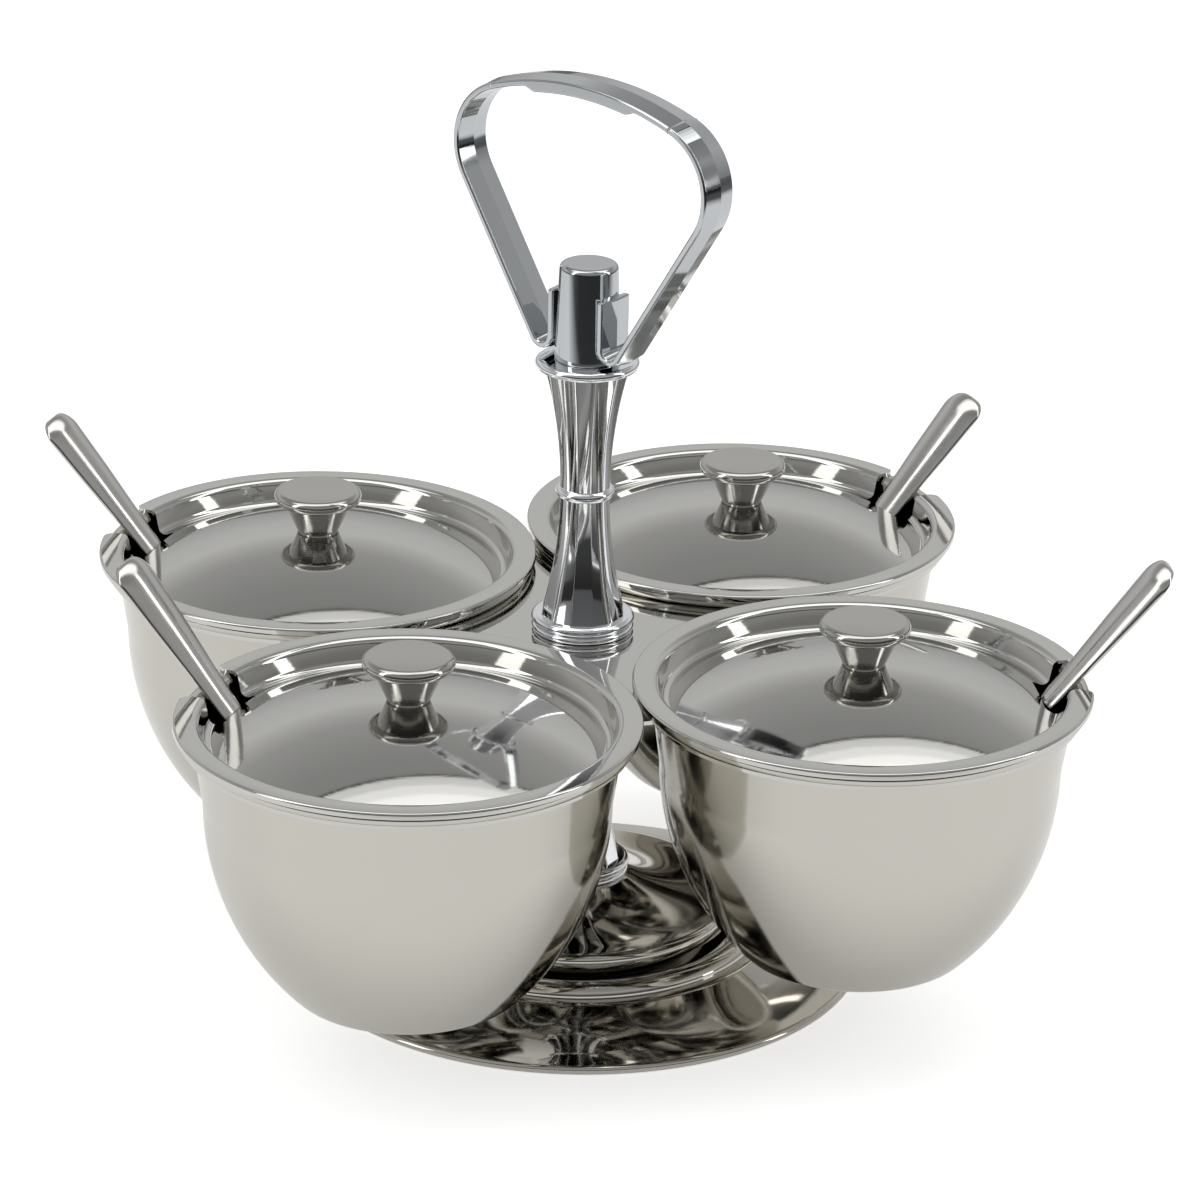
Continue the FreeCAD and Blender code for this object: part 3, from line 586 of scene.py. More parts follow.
# %% Strap and hub
STRAP_W = 11.0
STRAP_LEAF_TOP = 17.5
GRIP_PAD_HALF_L = 14.3
GRIP_PAD_T = 1.6
GRIP_PAD_RAMP = 3.6
HUB_R = 8.3
HUB_TOP_R = 7.4
HUB_H = 24.9
HUB_EDGE_R = 1.4
HANDLE_TURN = -53.0
HANDLE_CREASE = 11.0
SOFT_EDGE_W = 0.45
SOFT_EDGE_STEPS = 3


def pad_share(across):
    """How much of the grip pad there is at a distance from the loop's middle."""
    share = min(1, max(0, (GRIP_PAD_HALF_L + GRIP_PAD_RAMP - abs(across)) / GRIP_PAD_RAMP))
    return share * share * (3 - 2 * share)


def strap_ring(bm, across, up, out_x, out_z):
    """Section of the strap: two faces with a low ridge, and the pad on the inner one."""
    pad = GRIP_PAD_T * pad_share(across) if up > LOOP_WIDEST else 0
    edge = STRAP_EDGE_T / 2
    ridge = STRAP_RIDGE_T / 2
    outer = [(-1, edge), (0, ridge), (1, edge)]
    inner = [(1, -edge - pad), (0, -ridge - pad), (-1, -edge - pad)]
    ring = []
    for side, outward in outer + inner:
        point = Vector((across + out_x * outward, side * STRAP_W / 2, up + out_z * outward))
        ring.append(bm.verts.new(point * MM))
    return ring


def handle():
    stops = [(STRAP_LEAF_AT_R, STRAP_LEAF_TOP, -1, 0)]
    for centre, radius, first, last, step in strap_path():
        steps = max(2, math.ceil(abs(last - first) / step))
        for n in range(steps + 1):
            angle = first + (last - first) * n / steps
            stops.append((*polar(centre, radius, angle), *polar((0, 0), 1, angle)))
    stops.append((-STRAP_LEAF_AT_R, STRAP_LEAF_TOP, 1, 0))
    bm = bmesh.new()
    rings = [strap_ring(bm, *stop) for stop in stops]
    skin(bm, rings, False)
    bm.faces.new(rings[0])
    bm.faces.new(rings[-1])
    edge = (HUB_TOP_R - HUB_EDGE_R, HUB_H - HUB_EDGE_R)
    spin(bm, Outline(0, 0).to(HUB_R, 0).arc(edge, HUB_EDGE_R, 0, 90).to(0, HUB_H))
    piece = finish_piece("carrying_handle", bm, HANDLE_CHROME, HANDLE_CREASE)
    soft = piece.modifiers.new("soft_edges", "BEVEL")
    soft.width = SOFT_EDGE_W * MM
    soft.segments = SOFT_EDGE_STEPS
    soft.angle_limit = math.radians(CREASE_ANGLE)
    soft.harden_normals = True
    return stands_for(piece, "handle", (0, 0, in_mm("handle")[0].z * MM), HANDLE_TURN)


print("handle faces before the soft edges:", len(handle().data.polygons))

# %% [markdown]
# ## Bowls
# Each bowl is spun from sheet: a flat foot, a long round side, a slightly drafted wall and a rolled rim that
# hangs on the carrier plate. All four are alike. Their outside keeps more of the lathe's brushing than the
# lids do, so it blurs what it mirrors.

# %% Bowls
BOWL_SHEET = 0.8
BOWL_RIM_OVERHANG = 3.8
BOWL_RIM_H = 3.3
BOWL_LIP_R = 2.0
BOWL_WALL_INSET = 2.5
BOWL_WALL_H = 17.0
BOWL_SIDE_R = 70.0
BOWL_FOOT_R = 6.0
PLACES = ("front_left", "front_right", "back_right", "back_left")
CENTRE = {}
for place in PLACES:
    low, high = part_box("bowl_" + place)
    CENTRE[place] = Vector(((low.x + high.x) / 2, (low.y + high.y) / 2, 0))
low, high = in_mm("bowl_front_left")
BOWL_BOTTOM = low.z
RIM_TOP = high.z
RIM_R = (high.x - low.x) / 2
WALL_R = RIM_R - BOWL_RIM_OVERHANG
MOUTH_R = WALL_R - BOWL_SHEET


def bowl_outline():
    """Rolled rim, drafted wall, round side and flat foot, with the sheet's thickness."""
    seat = RIM_TOP - BOWL_RIM_H
    bead_r = BOWL_RIM_H / 2
    side = (WALL_R - BOWL_WALL_INSET - BOWL_SIDE_R, seat - BOWL_WALL_H)
    foot_level = BOWL_BOTTOM + BOWL_FOOT_R
    reach = math.sqrt((BOWL_SIDE_R - BOWL_FOOT_R) ** 2 - (side[1] - foot_level) ** 2)
    foot = (side[0] + reach, foot_level)
    turn = math.degrees(math.atan2(foot[1] - side[1], foot[0] - side[0]))
    return (
        Outline(0, BOWL_BOTTOM)
        .arc(foot, BOWL_FOOT_R, -90, turn)
        .arc(side, BOWL_SIDE_R, turn, 0, LONG_ARC_STEP)
        .to(WALL_R, seat)
        .arc((RIM_R - bead_r, seat + bead_r), bead_r, -90, 90)
        .arc((MOUTH_R + BOWL_LIP_R, RIM_TOP - BOWL_LIP_R), BOWL_LIP_R, 90, 180)
        .to(MOUTH_R, seat)
        .arc(side, BOWL_SIDE_R - BOWL_SHEET, 0, turn, LONG_ARC_STEP)
        .arc(foot, BOWL_FOOT_R - BOWL_SHEET, turn, -90)
        .to(0, BOWL_BOTTOM + BOWL_SHEET)
    )


for place in PLACES:
    piece = turned("bowl_spun_" + place, bowl_outline(), BOWL_STEEL)
    stands_for(piece, "bowl_" + place, CENTRE[place])
print("bowls: mouth", round(2 * MOUTH_R, 1), "mm across, rim at", round(RIM_TOP, 1), "mm")

# %% [markdown]
# ## How the spoons lean
# A spoon stands on its bowl's floor and leans on the lip, so its tilt and the bowl fix where it is. The
# lid's slot follows from the spoon, so this comes before the lids. All of it is worked out in the upright
# plane of the lean, as distances outward from the bowl's axis and upward from the table.

# %% Lean of a spoon
SPOON_TURN = {"front_left": 145, "front_right": -7, "back_right": 17, "back_left": 148}
SPOON_TILT = {"front_left": 39.5, "front_right": 39.5, "back_right": 44.0, "back_left": 41.0}
SPOON_CLEAR = 0.5
SCOOP_L = 40.0
SCOOP_RAISE = 1.0


def spoon_axes(tilt):
    """Directions along and across the spoon, as (outward, up)."""
    lean = math.radians(tilt)
    return (math.sin(lean), math.cos(lean)), (-math.cos(lean), math.sin(lean))


def spoon_back(tilt):
    """Distance of the handle's back from the origin, across the spoon."""
    _, across = spoon_axes(tilt)
    lip = (MOUTH_R + BOWL_LIP_R, RIM_TOP - BOWL_LIP_R)
    return across[0] * lip[0] + across[1] * lip[1] + BOWL_LIP_R + SPOON_CLEAR


def scoop_centre(tilt):
    """Place of the scoop's middle: its tip clears the bowl's floor."""
    along, across = spoon_axes(tilt)
    level = BOWL_BOTTOM + BOWL_SHEET + SPOON_CLEAR + SCOOP_L / 2 * along[1]
    return (across[1] * level - spoon_back(tilt) - SCOOP_RAISE) / -across[0], level


for place in PLACES:
    out, up = scoop_centre(SPOON_TILT[place])
    print(place, "scoop at", round(out, 1), "mm out and", round(up, 1), "mm up")

# %% Width and depth along the handle
HANDLE_L = 109.5
NECK_W = 7.2
NECK_D = 1.7
GRIP_W = 15.2
GRIP_D = 3.9
HANDLE_SHARES = ((0.0, 0.0, 0.0), (0.34, 0.1, 0.06), (0.6, 0.36, 0.24), (0.84, 0.8, 0.76), (1.0, 1.0, 1.0))


def handle_size(share):
    """Width and depth of the handle at a share of its way from scoop to end."""
    for (low, low_w, low_d), (high, high_w, high_d) in zip(HANDLE_SHARES, HANDLE_SHARES[1:]):
        if share <= high:
            break
    step = (share - low) / (high - low)
    width = NECK_W + (GRIP_W - NECK_W) * (low_w + (high_w - low_w) * step)
    depth = NECK_D + (GRIP_D - NECK_D) * (low_d + (high_d - low_d) * step)
    return width, depth


print("handle half way:", [round(v, 1) for v in handle_size(0.5)], "mm wide and deep")

# %% [markdown]
# ## Lids
# A lid is a pressed cover: a curled edge, a leaning wall that plugs the bowl and a domed floor that rises to
# the knob. The dome must run into the bend at its foot without a crease, because a crease would cut every
# reflection in two, so its circle is the one that touches that bend.

# %% Outline of a lid
LID_SHEET = 0.8
LID_OVERHANG = 0.8
LID_FIT = 0.35
LID_WALL_LEAN = 11.0
LID_DEPTH = 6.4
LID_SHOULDER_R = 1.8
LID_FOOT_R = 1.8
LID_CURL_H = 1.6
LID_CURL_W = 0.6
KNOB_PAD_R = 6.0
DOME_STEP = 0.5
LID_R = RIM_R + LID_OVERHANG
LID_TOP = RIM_TOP + LID_SHEET
LID_FLOOR = LID_TOP - LID_DEPTH
KNOB_SEAT = in_mm("knob_front_left")[0].z


def lid_foot():
    """Centre of the bend between the lid's wall and floor."""
    lean = math.radians(LID_WALL_LEAN)
    bends = LID_SHOULDER_R + LID_FOOT_R
    run = ((LID_DEPTH - bends) * math.sin(lean) + bends) / math.cos(lean)
    return MOUTH_R - LID_FIT + LID_SHOULDER_R - LID_SHEET - run, LID_FLOOR + LID_FOOT_R


def lid_dome():
    """Centre and radius of the dome that meets the knob's pad and touches the foot bend."""
    foot = lid_foot()
    rise = 2 * (KNOB_SEAT - foot[1])
    bend = 2 * LID_FOOT_R
    reach = foot[0] ** 2 + (KNOB_SEAT - foot[1]) ** 2 - KNOB_PAD_R**2 - LID_FOOT_R**2
    spare = rise**2 - bend**2
    root = math.sqrt((reach * rise) ** 2 - spare * (reach**2 - (bend * KNOB_PAD_R) ** 2))
    drop = (reach * rise - root) / spare
    return (0, KNOB_SEAT - drop), math.hypot(KNOB_PAD_R, drop)


def lid_outline():
    """Curled edge, plug wall and domed floor."""
    shoulder = (MOUTH_R - LID_FIT + LID_SHOULDER_R - LID_SHEET, LID_TOP - LID_SHOULDER_R)
    foot = lid_foot()
    dome, dome_r = lid_dome()
    edge = math.degrees(math.atan2(foot[1] - dome[1], foot[0]))
    pad = math.degrees(math.acos(KNOB_PAD_R / dome_r))
    curl = (LID_R - LID_CURL_W, LID_TOP - LID_CURL_W)
    return (
        Outline(0, KNOB_SEAT - LID_SHEET)
        .arc(dome, dome_r - LID_SHEET, pad, edge, DOME_STEP)
        .arc(foot, LID_FOOT_R + LID_SHEET, edge - 180, -LID_WALL_LEAN)
        .arc(shoulder, LID_SHOULDER_R - LID_SHEET, 180 - LID_WALL_LEAN, 90)
        .to(curl[0], RIM_TOP)
        .to(curl[0], LID_TOP - LID_CURL_H)
        .to(LID_R, LID_TOP - LID_CURL_H)
        .arc(curl, LID_CURL_W, 0, 90)
        .arc(shoulder, LID_SHOULDER_R, 90, 180 - LID_WALL_LEAN)
        .arc(foot, LID_FOOT_R, -LID_WALL_LEAN, edge - 180)
        .arc(dome, dome_r, edge, pad, DOME_STEP)
        .to(0, KNOB_SEAT)
    )


print("lid dome radius:", round(lid_dome()[1], 1), "mm")

# %% [markdown]
# ## The slot in a lid
# Each lid has a slot with rounded corners that lets its spoon out. A Boolean cut suits it best: the slot runs
# through the curl, the wall and the edge of the dome at once, and the cut leaves the sheet's thickness in
# view. Its inner end lies where the crest of the leaning handle comes through the dome.

# %% Cutter for the slot
SLOT_W = 18.6
SLOT_CORNER_R = 3.0
SLOT_END_R = 1.5
SLOT_CLEAR = 0.6


def slot_end(tilt):
    """Distance from the lid's axis to the slot's inner end."""
    along, across = spoon_axes(tilt)
    _, level = scoop_centre(tilt)
    share = ((LID_TOP - level) / along[1] - SCOOP_L / 2) / (HANDLE_L - SCOOP_L / 2)
    crest = spoon_back(tilt) + handle_size(share)[1] + SLOT_CLEAR
    dome, dome_r = lid_dome()
    rise = math.sqrt((dome_r - LID_SHEET) ** 2 - (crest - dome[1] * across[1]) ** 2)
    return crest * across[0] + (dome[1] * along[1] + rise) * along[0]


def slot_cutter(tilt):
    """Block in the plan shape of the slot, with rounded corners at the lid's edge."""
    half = SLOT_W / 2
    end = slot_end(tilt)
    corner_y = half + SLOT_CORNER_R
    corner_x = math.sqrt((LID_R - SLOT_CORNER_R) ** 2 - corner_y**2)
    meet = math.degrees(math.atan2(corner_y, corner_x))
    far = polar((0, 0), LID_R + SLOT_W, meet)
    plan = (
        Outline(far[0], -far[1])
        .arc((corner_x, -corner_y), SLOT_CORNER_R, -meet, 90)
        .arc((end + SLOT_END_R, SLOT_END_R - half), SLOT_END_R, 270, 180)
        .arc((end + SLOT_END_R, half - SLOT_END_R), SLOT_END_R, 180, 90)
        .arc((corner_x, corner_y), SLOT_CORNER_R, -90, meet)
        .to(*far)
    )
    bm = bmesh.new()
    rings = [[bm.verts.new(Vector((x, y, z)) * MM) for x, y in plan.points] for z in (BOWL_BOTTOM, KNOB_SEAT)]
    skin(bm, rings, False)
    for ring in rings:
        bm.faces.new(ring)
    return finish_piece("slot_cutter", bm, LID_STEEL)


for place in PLACES:
    print(place, "slot ends", round(slot_end(SPOON_TILT[place]), 1), "mm from the lid's axis")

# %% Lids with their slots
def slotted_lid(place):
    """Turned lid with the slot cut out of it towards +X."""
    piece = turned("lid_cover_" + place, lid_outline(), LID_STEEL)
    cutter = slot_cutter(SPOON_TILT[place])
    cut = piece.modifiers.new("slot", "BOOLEAN")
    cut.operation = "DIFFERENCE"
    cut.object = cutter
    cut.solver = "EXACT"
    bpy.context.view_layer.update()
    made = bpy.data.meshes.new_from_object(piece.evaluated_get(bpy.context.evaluated_depsgraph_get()))
    piece.modifiers.clear()
    piece.data = made
    made.shade_smooth()
    made.set_sharp_from_angle(angle=math.radians(CREASE_ANGLE))
    bpy.data.objects.remove(cutter)
    return piece


for place in PLACES:
    piece = stands_for(slotted_lid(place), "lid_" + place, CENTRE[place], SPOON_TURN[place])
    print(piece.name, "faces:", len(piece.data.polygons))

# %% [markdown]
# ## Knobs
# A knob is turned from bar: a short neck, a cup that widens upward and a flat cap with a round edge that the
# fingers hook under. It stands on the flat pad in the middle of the dome.

# %% Knobs
KNOB_CAP_H = 3.4
KNOB_CUP_TOP_R = 8.9
KNOB_CUP_FOOT_R = 5.4
KNOB_NECK_R = 4.9
KNOB_NECK_H = 0.5


def knob_outline():
    """Neck, cup and round-edged cap, from the knob's own foot."""
    low, high = in_mm("knob_front_left")
    height = high.z - low.z
    top_r = (high.x - low.x) / 2
    cap = KNOB_CAP_H / 2
    return (
        Outline(0, 0)
        .to(KNOB_NECK_R, 0)
        .to(KNOB_NECK_R, KNOB_NECK_H)
        .to(KNOB_CUP_FOOT_R, KNOB_NECK_H)
        .to(KNOB_CUP_TOP_R, height - KNOB_CAP_H)
        .arc((top_r - cap, height - cap), cap, -90, 90)
        .to(0, height)
    )


for place in PLACES:
    piece = turned("knob_turned_" + place, knob_outline(), KNOB_STEEL)
    stands_for(piece, "knob_" + place, CENTRE[place] + Vector((0, 0, KNOB_SEAT * MM)))
print("knobs stand at", round(KNOB_SEAT, 1), "mm")

# %% [markdown]
# ## Spoons
# A spoon is one pressed sheet: an oval scoop and a tapered handle with a round crest, a hollow back and a
# closed round end. One face of the sheet is modelled and a Solidify modifier gives it thickness, which is how
# a press makes it too. The spoon is drawn lying along X and then tilted into its bowl.

# %% Handle of a spoon
SPOON_SHEET = 1.0
GRIP_CORNER_R = 5.4
GRIP_END_R = 2.2
END_INSET = 0.2
ARCH_STEPS = 16
HANDLE_STEPS = 40
END_STEPS = 10


def arch_ring(bm, x, width, depth):
    """Round crest of the handle's sheet at one place along it."""
    half = width / 2
    radius = (half * half + depth * depth) / (2 * depth)
    reach = math.asin(min(1, half / radius))
    ring = []
    for k in range(ARCH_STEPS + 1):
        turn = reach * (2 * k / ARCH_STEPS - 1)
        point = Vector((x, radius * math.sin(turn), depth - radius + radius * math.cos(turn)))
        ring.append(bm.verts.new(point * MM))
    return ring


def spoon_handle(bm):
    """Crest from the scoop to the grip, and the rounded end."""
    start = SCOOP_L / 2 - SPOON_SHEET
    round_at = HANDLE_L - GRIP_CORNER_R - END_INSET
    rings = []
    for n in range(HANDLE_STEPS):
        share = n / HANDLE_STEPS
        rings.append(arch_ring(bm, start + (round_at - start) * share, *handle_size(share)))
    for n in range(END_STEPS + 1):
        turn = math.pi / 2 * n / END_STEPS
        drawn = 1 - math.cos(turn)
        x = round_at + GRIP_CORNER_R * math.sin(turn)
        rings.append(arch_ring(bm, x, GRIP_W - 2 * GRIP_CORNER_R * drawn, GRIP_D - GRIP_END_R * drawn))
    for a, b in zip(rings, rings[1:]):
        for k in range(ARCH_STEPS):
            bm.faces.new((a[k], b[k], b[k + 1], a[k + 1]))
    bm.faces.new(rings[-1])
    for face in bm.faces:
        face.normal_update()
        if face.normal.z + face.normal.x < 0:
            face.normal_flip()


print("sections along a spoon handle:", HANDLE_STEPS + END_STEPS + 1)

# %% Scoop of a spoon
SCOOP_W = 26.0
SCOOP_DEPTH = 7.5
SCOOP_STEPS = 48
SCOOP_RINGS = 10


def scoop_point(x, y_share):
    """Point of the dish at a place along it and a share of its half width there."""
    barrel = ((SCOOP_W / 2) ** 2 - SCOOP_DEPTH**2) / (2 * SCOOP_DEPTH)
    belly_r = ((SCOOP_L / 2) ** 2 + SCOOP_DEPTH**2) / (2 * SCOOP_DEPTH)
    radius = barrel + SCOOP_DEPTH - belly_r + math.sqrt(belly_r**2 - x * x)
    y = y_share * math.sqrt(max(0, radius**2 - barrel**2))
    return x, y, barrel - math.sqrt(radius**2 - y * y) + SCOOP_RAISE


def scoop(bm):
    """Oval dish whose sheet lies above its outer face."""
    rings = []
    for n in range(SCOOP_RINGS):
        share = 1 - n / SCOOP_RINGS
        ring = []
        for k in range(SCOOP_STEPS):
            turn = 2 * math.pi * (k + 0.5) / SCOOP_STEPS
            rim_x, rim_y, _ = scoop_point(SCOOP_L / 2 * math.cos(turn), math.copysign(1, math.sin(turn)))
            x = rim_x * share
            wide = scoop_point(x, 1)[1]
            ring.append(bm.verts.new(Vector(scoop_point(x, rim_y * share / wide)) * MM))
        rings.append(ring)
    rings.append([bm.verts.new(Vector(scoop_point(0, 0)) * MM)])
    before = set(bm.faces)
    skin(bm, rings, False)
    for face in set(bm.faces) - before:
        face.normal_update()
        if face.normal.z > 0:
            face.normal_flip()


print("scoop is", SCOOP_DEPTH, "mm deep at its middle:", [round(v, 1) for v in scoop_point(0, 0)])

# %% Spoons in their bowls
def spoon(place):
    """Scoop and handle along X, tilted and turned into the lid's slot."""
    bm = bmesh.new()
    spoon_handle(bm)
    scoop(bm)
    mesh = bpy.data.meshes.new("spoon_sheet")
    bm.to_mesh(mesh)
    bm.free()
    mesh.materials.append(SPOON_STEEL)
    mesh.shade_smooth()
    piece = bpy.data.objects.new("spoon_sheet_" + place, mesh)
    bpy.context.scene.collection.objects.link(piece)
    sheet = piece.modifiers.new("sheet", "SOLIDIFY")
    sheet.thickness = SPOON_SHEET * MM
    sheet.offset = -1
    tilt = SPOON_TILT[place]
    _, across = spoon_axes(tilt)
    out, level = scoop_centre(tilt)
    origin = Vector((out - across[0] * SCOOP_RAISE, 0, level - across[1] * SCOOP_RAISE)) * MM
    lean = Matrix.Rotation(math.radians(tilt - 90), 4, "Y")
    around = Matrix.Rotation(math.radians(SPOON_TURN[place]), 4, "Z")
    mesh.transform(around @ Matrix.Translation(origin) @ lean)
    return piece


for place in PLACES:
    piece = stands_for(spoon(place), "spoon_" + place, CENTRE[place])
    print(piece.name, "faces:", len(piece.data.polygons))

# %% [markdown]
# ## The pieces that stay as solids
# The carrier plate is flat, and the bearing, rod and screws are small or hidden. A finer mesh would add
# nothing to them, so their solids stay and only get a finish of their own.

# %% Finishes of the solids
def finish_node(node_name, material):
    """Gives a solid that stays one finish."""
    target = frame["nodes"][node_name]
    target.data.materials.clear()
    target.data.materials.append(material)


KEPT = {
    "carrier_plate": LID_STEEL,
    "pivot_rod": ZINC,
    "rod_washer": ZINC,
    "rod_nut": ZINC,
    **{"knob_screw_" + place: ZINC for place in PLACES},
    "lower_race": RACE_STEEL,
    "upper_race": RACE_STEEL,
    "bearing_balls": RACE_STEEL,
    "pivot_bush": NYLON,
    "ball_cage": NYLON,
}
for name, material in KEPT.items():
    finish_node(name, material)
print("solids kept:", len(KEPT))

# %% [markdown]
# ## Floor
# The server stands on white. Polished metal shows the floor as much as the camera does, so the floor carries
# painted light and shade that only the metal sees: near the server a painted pool of light, partly a glow,
# which brightens the bowls, and towards the front of the room painted shade, which gives the chrome its
# contrast. The Light Path node tells the camera's rays, which always see white, from the rays that bounce off
# the metal. Lamps light the floor too, so the shadow stays. Far off, where no lamp reaches, the floor glows a
# little more.

# %% Level pieces of the set, and a mixing helper
def level_plane(name, low, high, level, material):
    """Level rectangle of the set, between two corners."""
    corners = [(low[0], low[1]), (high[0], low[1]), (high[0], high[1]), (low[0], high[1])]
    mesh = bpy.data.meshes.new(name)
    mesh.from_pydata([(x, y, level) for x, y in corners], [], [(0, 1, 2, 3)])
    mesh.materials.append(material)
    made = bpy.data.objects.new(name, mesh)
    bpy.context.scene.collection.objects.link(made)
    made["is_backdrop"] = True


def mixed(tree, factor, first, second):
    """Value between two others; each may be a number or another node's output."""
    made = tree.nodes.new("ShaderNodeMix")
    tree.links.new(factor, made.inputs["Factor"])
    for socket, value in (("A", first), ("B", second)):
        if isinstance(value, (int, float)):
            made.inputs[socket].default_value = value
        else:
            tree.links.new(value, made.inputs[socket])
    return made.outputs["Result"]


print("helpers for the set:", level_plane.__name__, "and", mixed.__name__)

# %% Colour of the floor, for the camera and for mirrors
FLOOR_WHITE = 0.86
FLOOR_ROUGHNESS = 0.9
# Painted pool of light for mirrors: its middle, and the reach over which it fades.
PAINTED_POOL_AT = (0, 0.6, 0)
PAINTED_POOL_REACH = (0.9, 1.15)
# Painted shade for mirrors: where the floor darkens from front to back, and its greys.
PAINTED_SHADE_REACH = (-0.5, 0.8)
PAINTED_SHADE_GREYS = (0.06, 0.45)
pale, tree, shader = new_material("pale_floor", (FLOOR_WHITE,) * 3, FLOOR_ROUGHNESS, 0)
shader.inputs["Specular IOR Level"].default_value = 0
path = tree.nodes.new("ShaderNodeLightPath")
spot = tree.nodes.new("ShaderNodeTexCoord").outputs["Object"]
split = tree.nodes.new("ShaderNodeSeparateXYZ")
away = tree.nodes.new("ShaderNodeVectorMath")
away.operation = "DISTANCE"
away.inputs[1].default_value = PAINTED_POOL_AT
tree.links.new(spot, away.inputs[0])
tree.links.new(spot, split.inputs[0])
# Painted pool of light round the server, which only mirrors see.
painted_pool = spread(tree, away.outputs["Value"], PAINTED_POOL_REACH, (1, 0))
# Painted shade: outside the pool, mirrors see the floor dark grey, darkest towards the front.
far = spread(tree, split.outputs["Y"], PAINTED_SHADE_REACH, PAINTED_SHADE_GREYS)
# Mirrors see the white floor inside the painted pool of light and painted shade outside it.
mirrored_painted_light = mixed(tree, painted_pool, far, FLOOR_WHITE)
grey = mixed(tree, path.outputs["Is Glossy Ray"], FLOOR_WHITE, mirrored_painted_light)
join = tree.nodes.new("ShaderNodeCombineColor")
for channel in join.inputs:
    tree.links.new(grey, channel)
tree.links.new(join.outputs["Color"], shader.inputs["Base Color"])
print("floor white:", FLOOR_WHITE)

# %% Glow of the floor
FLOOR_HALF = 80.0
FLOOR_LIFT = 0.62
FAR_LIFT_REACH = (1.4, 3.5)
# Share of the floor's glow that mirrors see inside the pool, a painted pool of light.
PAINTED_POOL_GLOW_SHARE = 0.44
shader.inputs["Emission Color"].default_value = (1, 1, 1, 1)
lift = tree.nodes.new("ShaderNodeMath")
lift.operation = "MULTIPLY"
far_lift = spread(tree, away.outputs["Value"], FAR_LIFT_REACH, (FLOOR_LIFT, 1))
tree.links.new(far_lift, lift.inputs[1])
# Painted glow for mirrors inside the pool; the camera sees the plain white lift.
painted_pool_glow = spread(tree, painted_pool, (0, 1), (0, PAINTED_POOL_GLOW_SHARE))
glow = mixed(tree, path.outputs["Is Glossy Ray"], path.outputs["Is Camera Ray"], painted_pool_glow)
tree.links.new(glow, lift.inputs[0])
tree.links.new(lift.outputs[0], shader.inputs["Emission Strength"])
level_plane("floor", (-FLOOR_HALF, -FLOOR_HALF), (FLOOR_HALF, FLOOR_HALF), 0, pale)
print("floor is", 2 * FLOOR_HALF, "m wide")

# %% [markdown]
# ## Room and lamps
# A broad soft box hangs overhead and leaves the bright patch near the front of every domed lid. It is dimmer
# towards its rear, where a black lip draws the thin dark line behind the patch. Tall narrow lamps left and
# right draw upright stripes on the column and the knobs. The room is grey, which fills the lids, and low down
# behind the camera it is dark, so edges that face that way stand out.

# %% Room
# Each stop is a height of the view ray and a shade.
ROOM_STOPS = ((0.0, 0.4), (0.25, 0.6), (0.4, 0.66), (0.58, 0.43), (0.8, 0.34), (1.0, 0.3))
FRONT_REACH = (-0.7, 0.5)
FRONT_SHARES = (0.2, 1.0)
UPPER_REACH = (0.15, 0.5)
UPPER_SHARES = (0.0, 0.85)
world = bpy.data.worlds.new("room")
bpy.context.scene.world = world
world.use_nodes = True
tree = world.node_tree
background = tree.nodes["Background"]
split = tree.nodes.new("ShaderNodeSeparateXYZ")
ramp = tree.nodes.new("ShaderNodeValToRGB")
tree.links.new(tree.nodes.new("ShaderNodeTexCoord").outputs["Generated"], split.inputs[0])
tree.links.new(split.outputs["Z"], ramp.inputs[0])
tree.links.new(ramp.outputs["Color"], background.inputs["Color"])
lighter = tree.nodes.new("ShaderNodeMath")
lighter.operation = "MAXIMUM"
tree.links.new(spread(tree, split.outputs["Y"], FRONT_REACH, FRONT_SHARES), lighter.inputs[0])
tree.links.new(spread(tree, split.outputs["Z"], UPPER_REACH, UPPER_SHARES), lighter.inputs[1])
tree.links.new(lighter.outputs[0], background.inputs["Strength"])
stops = ramp.color_ramp.elements
while len(stops) < len(ROOM_STOPS):
    stops.new(1.0)
for stop, (height, shade) in zip(stops, ROOM_STOPS):
    stop.position = height
    stop.color = (shade, shade, shade, 1)
print("room shades:", [round(stop.color[0], 2) for stop in stops])

# %% Lamps
AIM = (0, 0, 0.1)
BOX_LEVEL = 1.6
BOX_W = 2.4
# Each band has a front edge, a rear edge and a brightness.
BOX_BANDS = ((-0.45, 0.38, 1.5), (0.38, 0.49, 1.2), (0.49, 0.6, 0.9), (0.6, 0.71, 0.6))
# Each strip has a place, a width and height, and a brightness.
STRIPS = {
    "left_strip": ((-1.15, -0.25, 0.7), (0.3, 1.3), 2.1),
    "right_strip": ((1.15, -0.45, 0.7), (0.2, 1.3), 3.0),
}


def soft_box(name, place, size, radiance, target=AIM):
    """Rectangular lamp aimed at a point, with an even brightness over its face."""
    data = bpy.data.lights.new(name, "AREA")
    data.shape = "RECTANGLE"
    data.size, data.size_y = size
    data.energy = radiance * size[0] * size[1] * math.pi
    made = bpy.data.objects.new(name, data)
    made.location = place
    made.rotation_euler = (Vector(target) - Vector(place)).to_track_quat("-Z", "Y").to_euler()
    bpy.context.scene.collection.objects.link(made)
    return data.energy


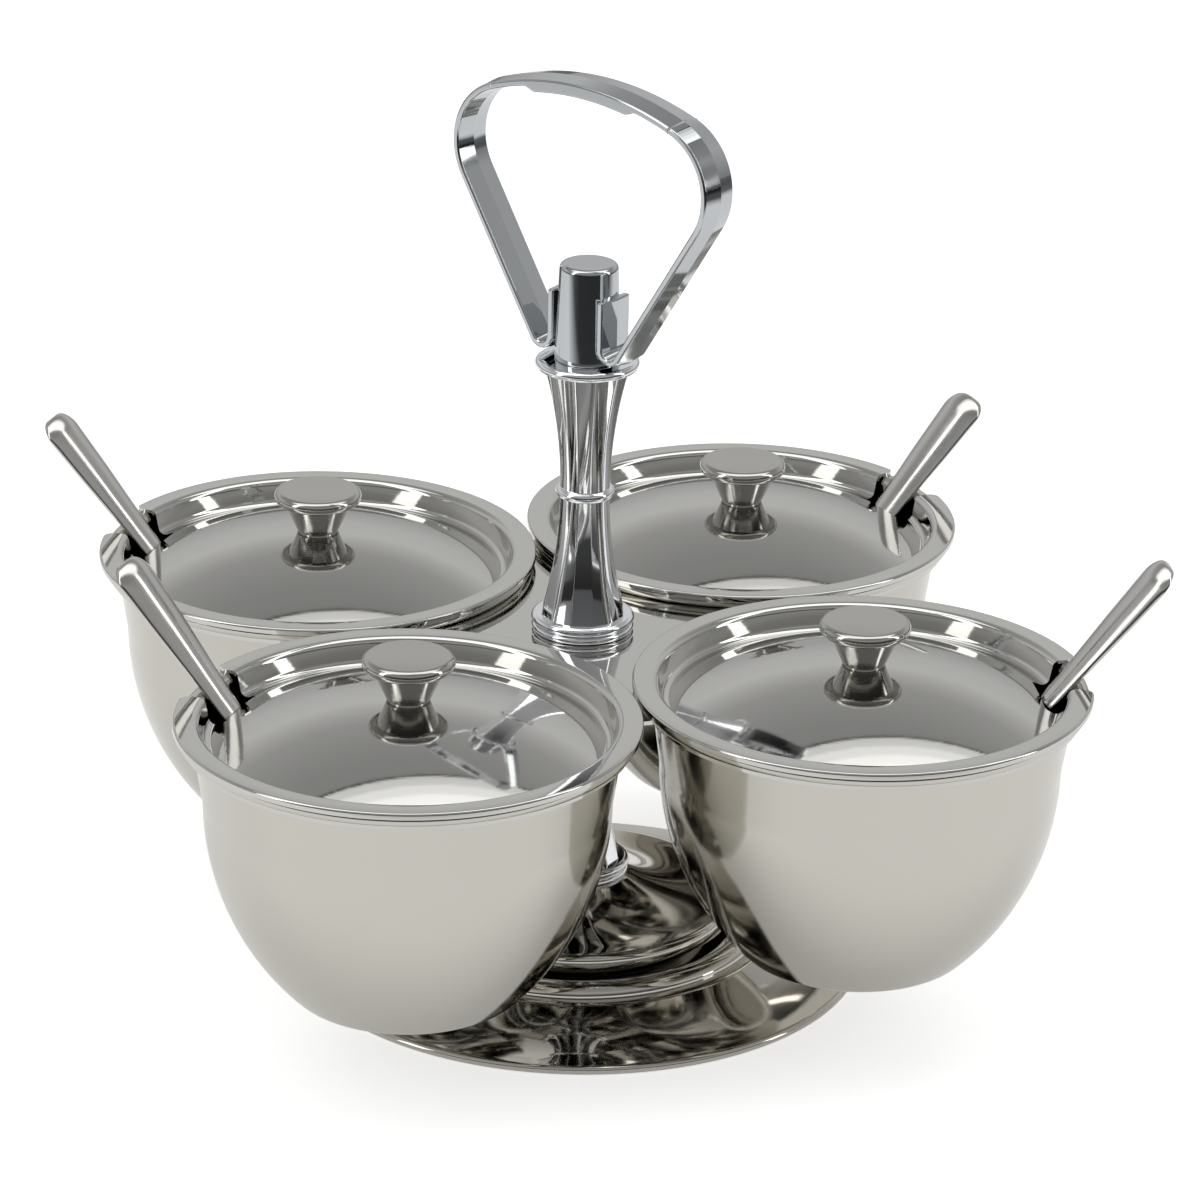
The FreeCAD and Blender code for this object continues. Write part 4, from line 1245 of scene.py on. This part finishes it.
for number, (front, rear, radiance) in enumerate(BOX_BANDS, 1):
    middle = (front + rear) / 2
    place = (0, middle, BOX_LEVEL)
    power = soft_box(f"overhead_{number}", place, (BOX_W, rear - front), radiance, (0, middle, 0))
    print("overhead band", number, "gives", round(power, 1), "W")
for name, (place, size, radiance) in STRIPS.items():
    print(name, "gives", round(soft_box(name, place, size, radiance), 1), "W")

# %% Dark lip of the overhead box
LIP_W = 0.03
LIP_BLACK = 0.01
LIP_ROUGHNESS = 1.0
box_end = BOX_BANDS[-1][1]
black_cloth = new_material("black_cloth", (LIP_BLACK,) * 3, LIP_ROUGHNESS, 0)[0]
level_plane("lamp_lip", (-BOX_W / 2, box_end), (BOX_W / 2, box_end + LIP_W), BOX_LEVEL, black_cloth)
print("lip is", LIP_W, "m wide")

# %% [markdown]
# ## Camera
# The camera stands in front and a little to the left, and looks down by about twenty two degrees through a
# long lens. It is set from its own three axes, because a camera aimed at a point would lose the small roll of
# the picture.

# %% Camera
CAMERA_AT = (-0.300, -1.1997, 0.5968)
CAMERA_TURN = -14.24
CAMERA_DOWN = 21.99
CAMERA_ROLL = 1.14
LENS = 157.6
SENSOR = 36.0
turn, down, roll = (math.radians(v) for v in (CAMERA_TURN, CAMERA_DOWN, CAMERA_ROLL))
back = Vector((math.sin(turn) * math.cos(down), -math.cos(turn) * math.cos(down), math.sin(down)))
right = Vector((math.cos(turn), math.sin(turn), 0))
up = back.cross(right)
rolled_right = right * math.cos(roll) + up * math.sin(roll)
rolled_up = up * math.cos(roll) - right * math.sin(roll)
camera_data = bpy.data.cameras.new("camera")
camera_data.lens = LENS
camera_data.sensor_width = SENSOR
camera = bpy.data.objects.new("camera", camera_data)
axes = Matrix((rolled_right, rolled_up, back)).transposed().to_4x4()
camera.matrix_world = Matrix.Translation(CAMERA_AT) @ axes
bpy.context.scene.collection.objects.link(camera)
bpy.context.scene.camera = camera
bpy.context.scene.view_settings.view_transform = "Standard"
print("camera height:", CAMERA_AT[2], "m")

# %% [markdown]
# ## Size over all
# The box round every visible object, apart from the set, is measured, and its height is printed.

# %% Height over all
bpy.context.view_layer.update()
low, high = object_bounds()
print("height over all:", round(high.z / MM, 1), "mm")
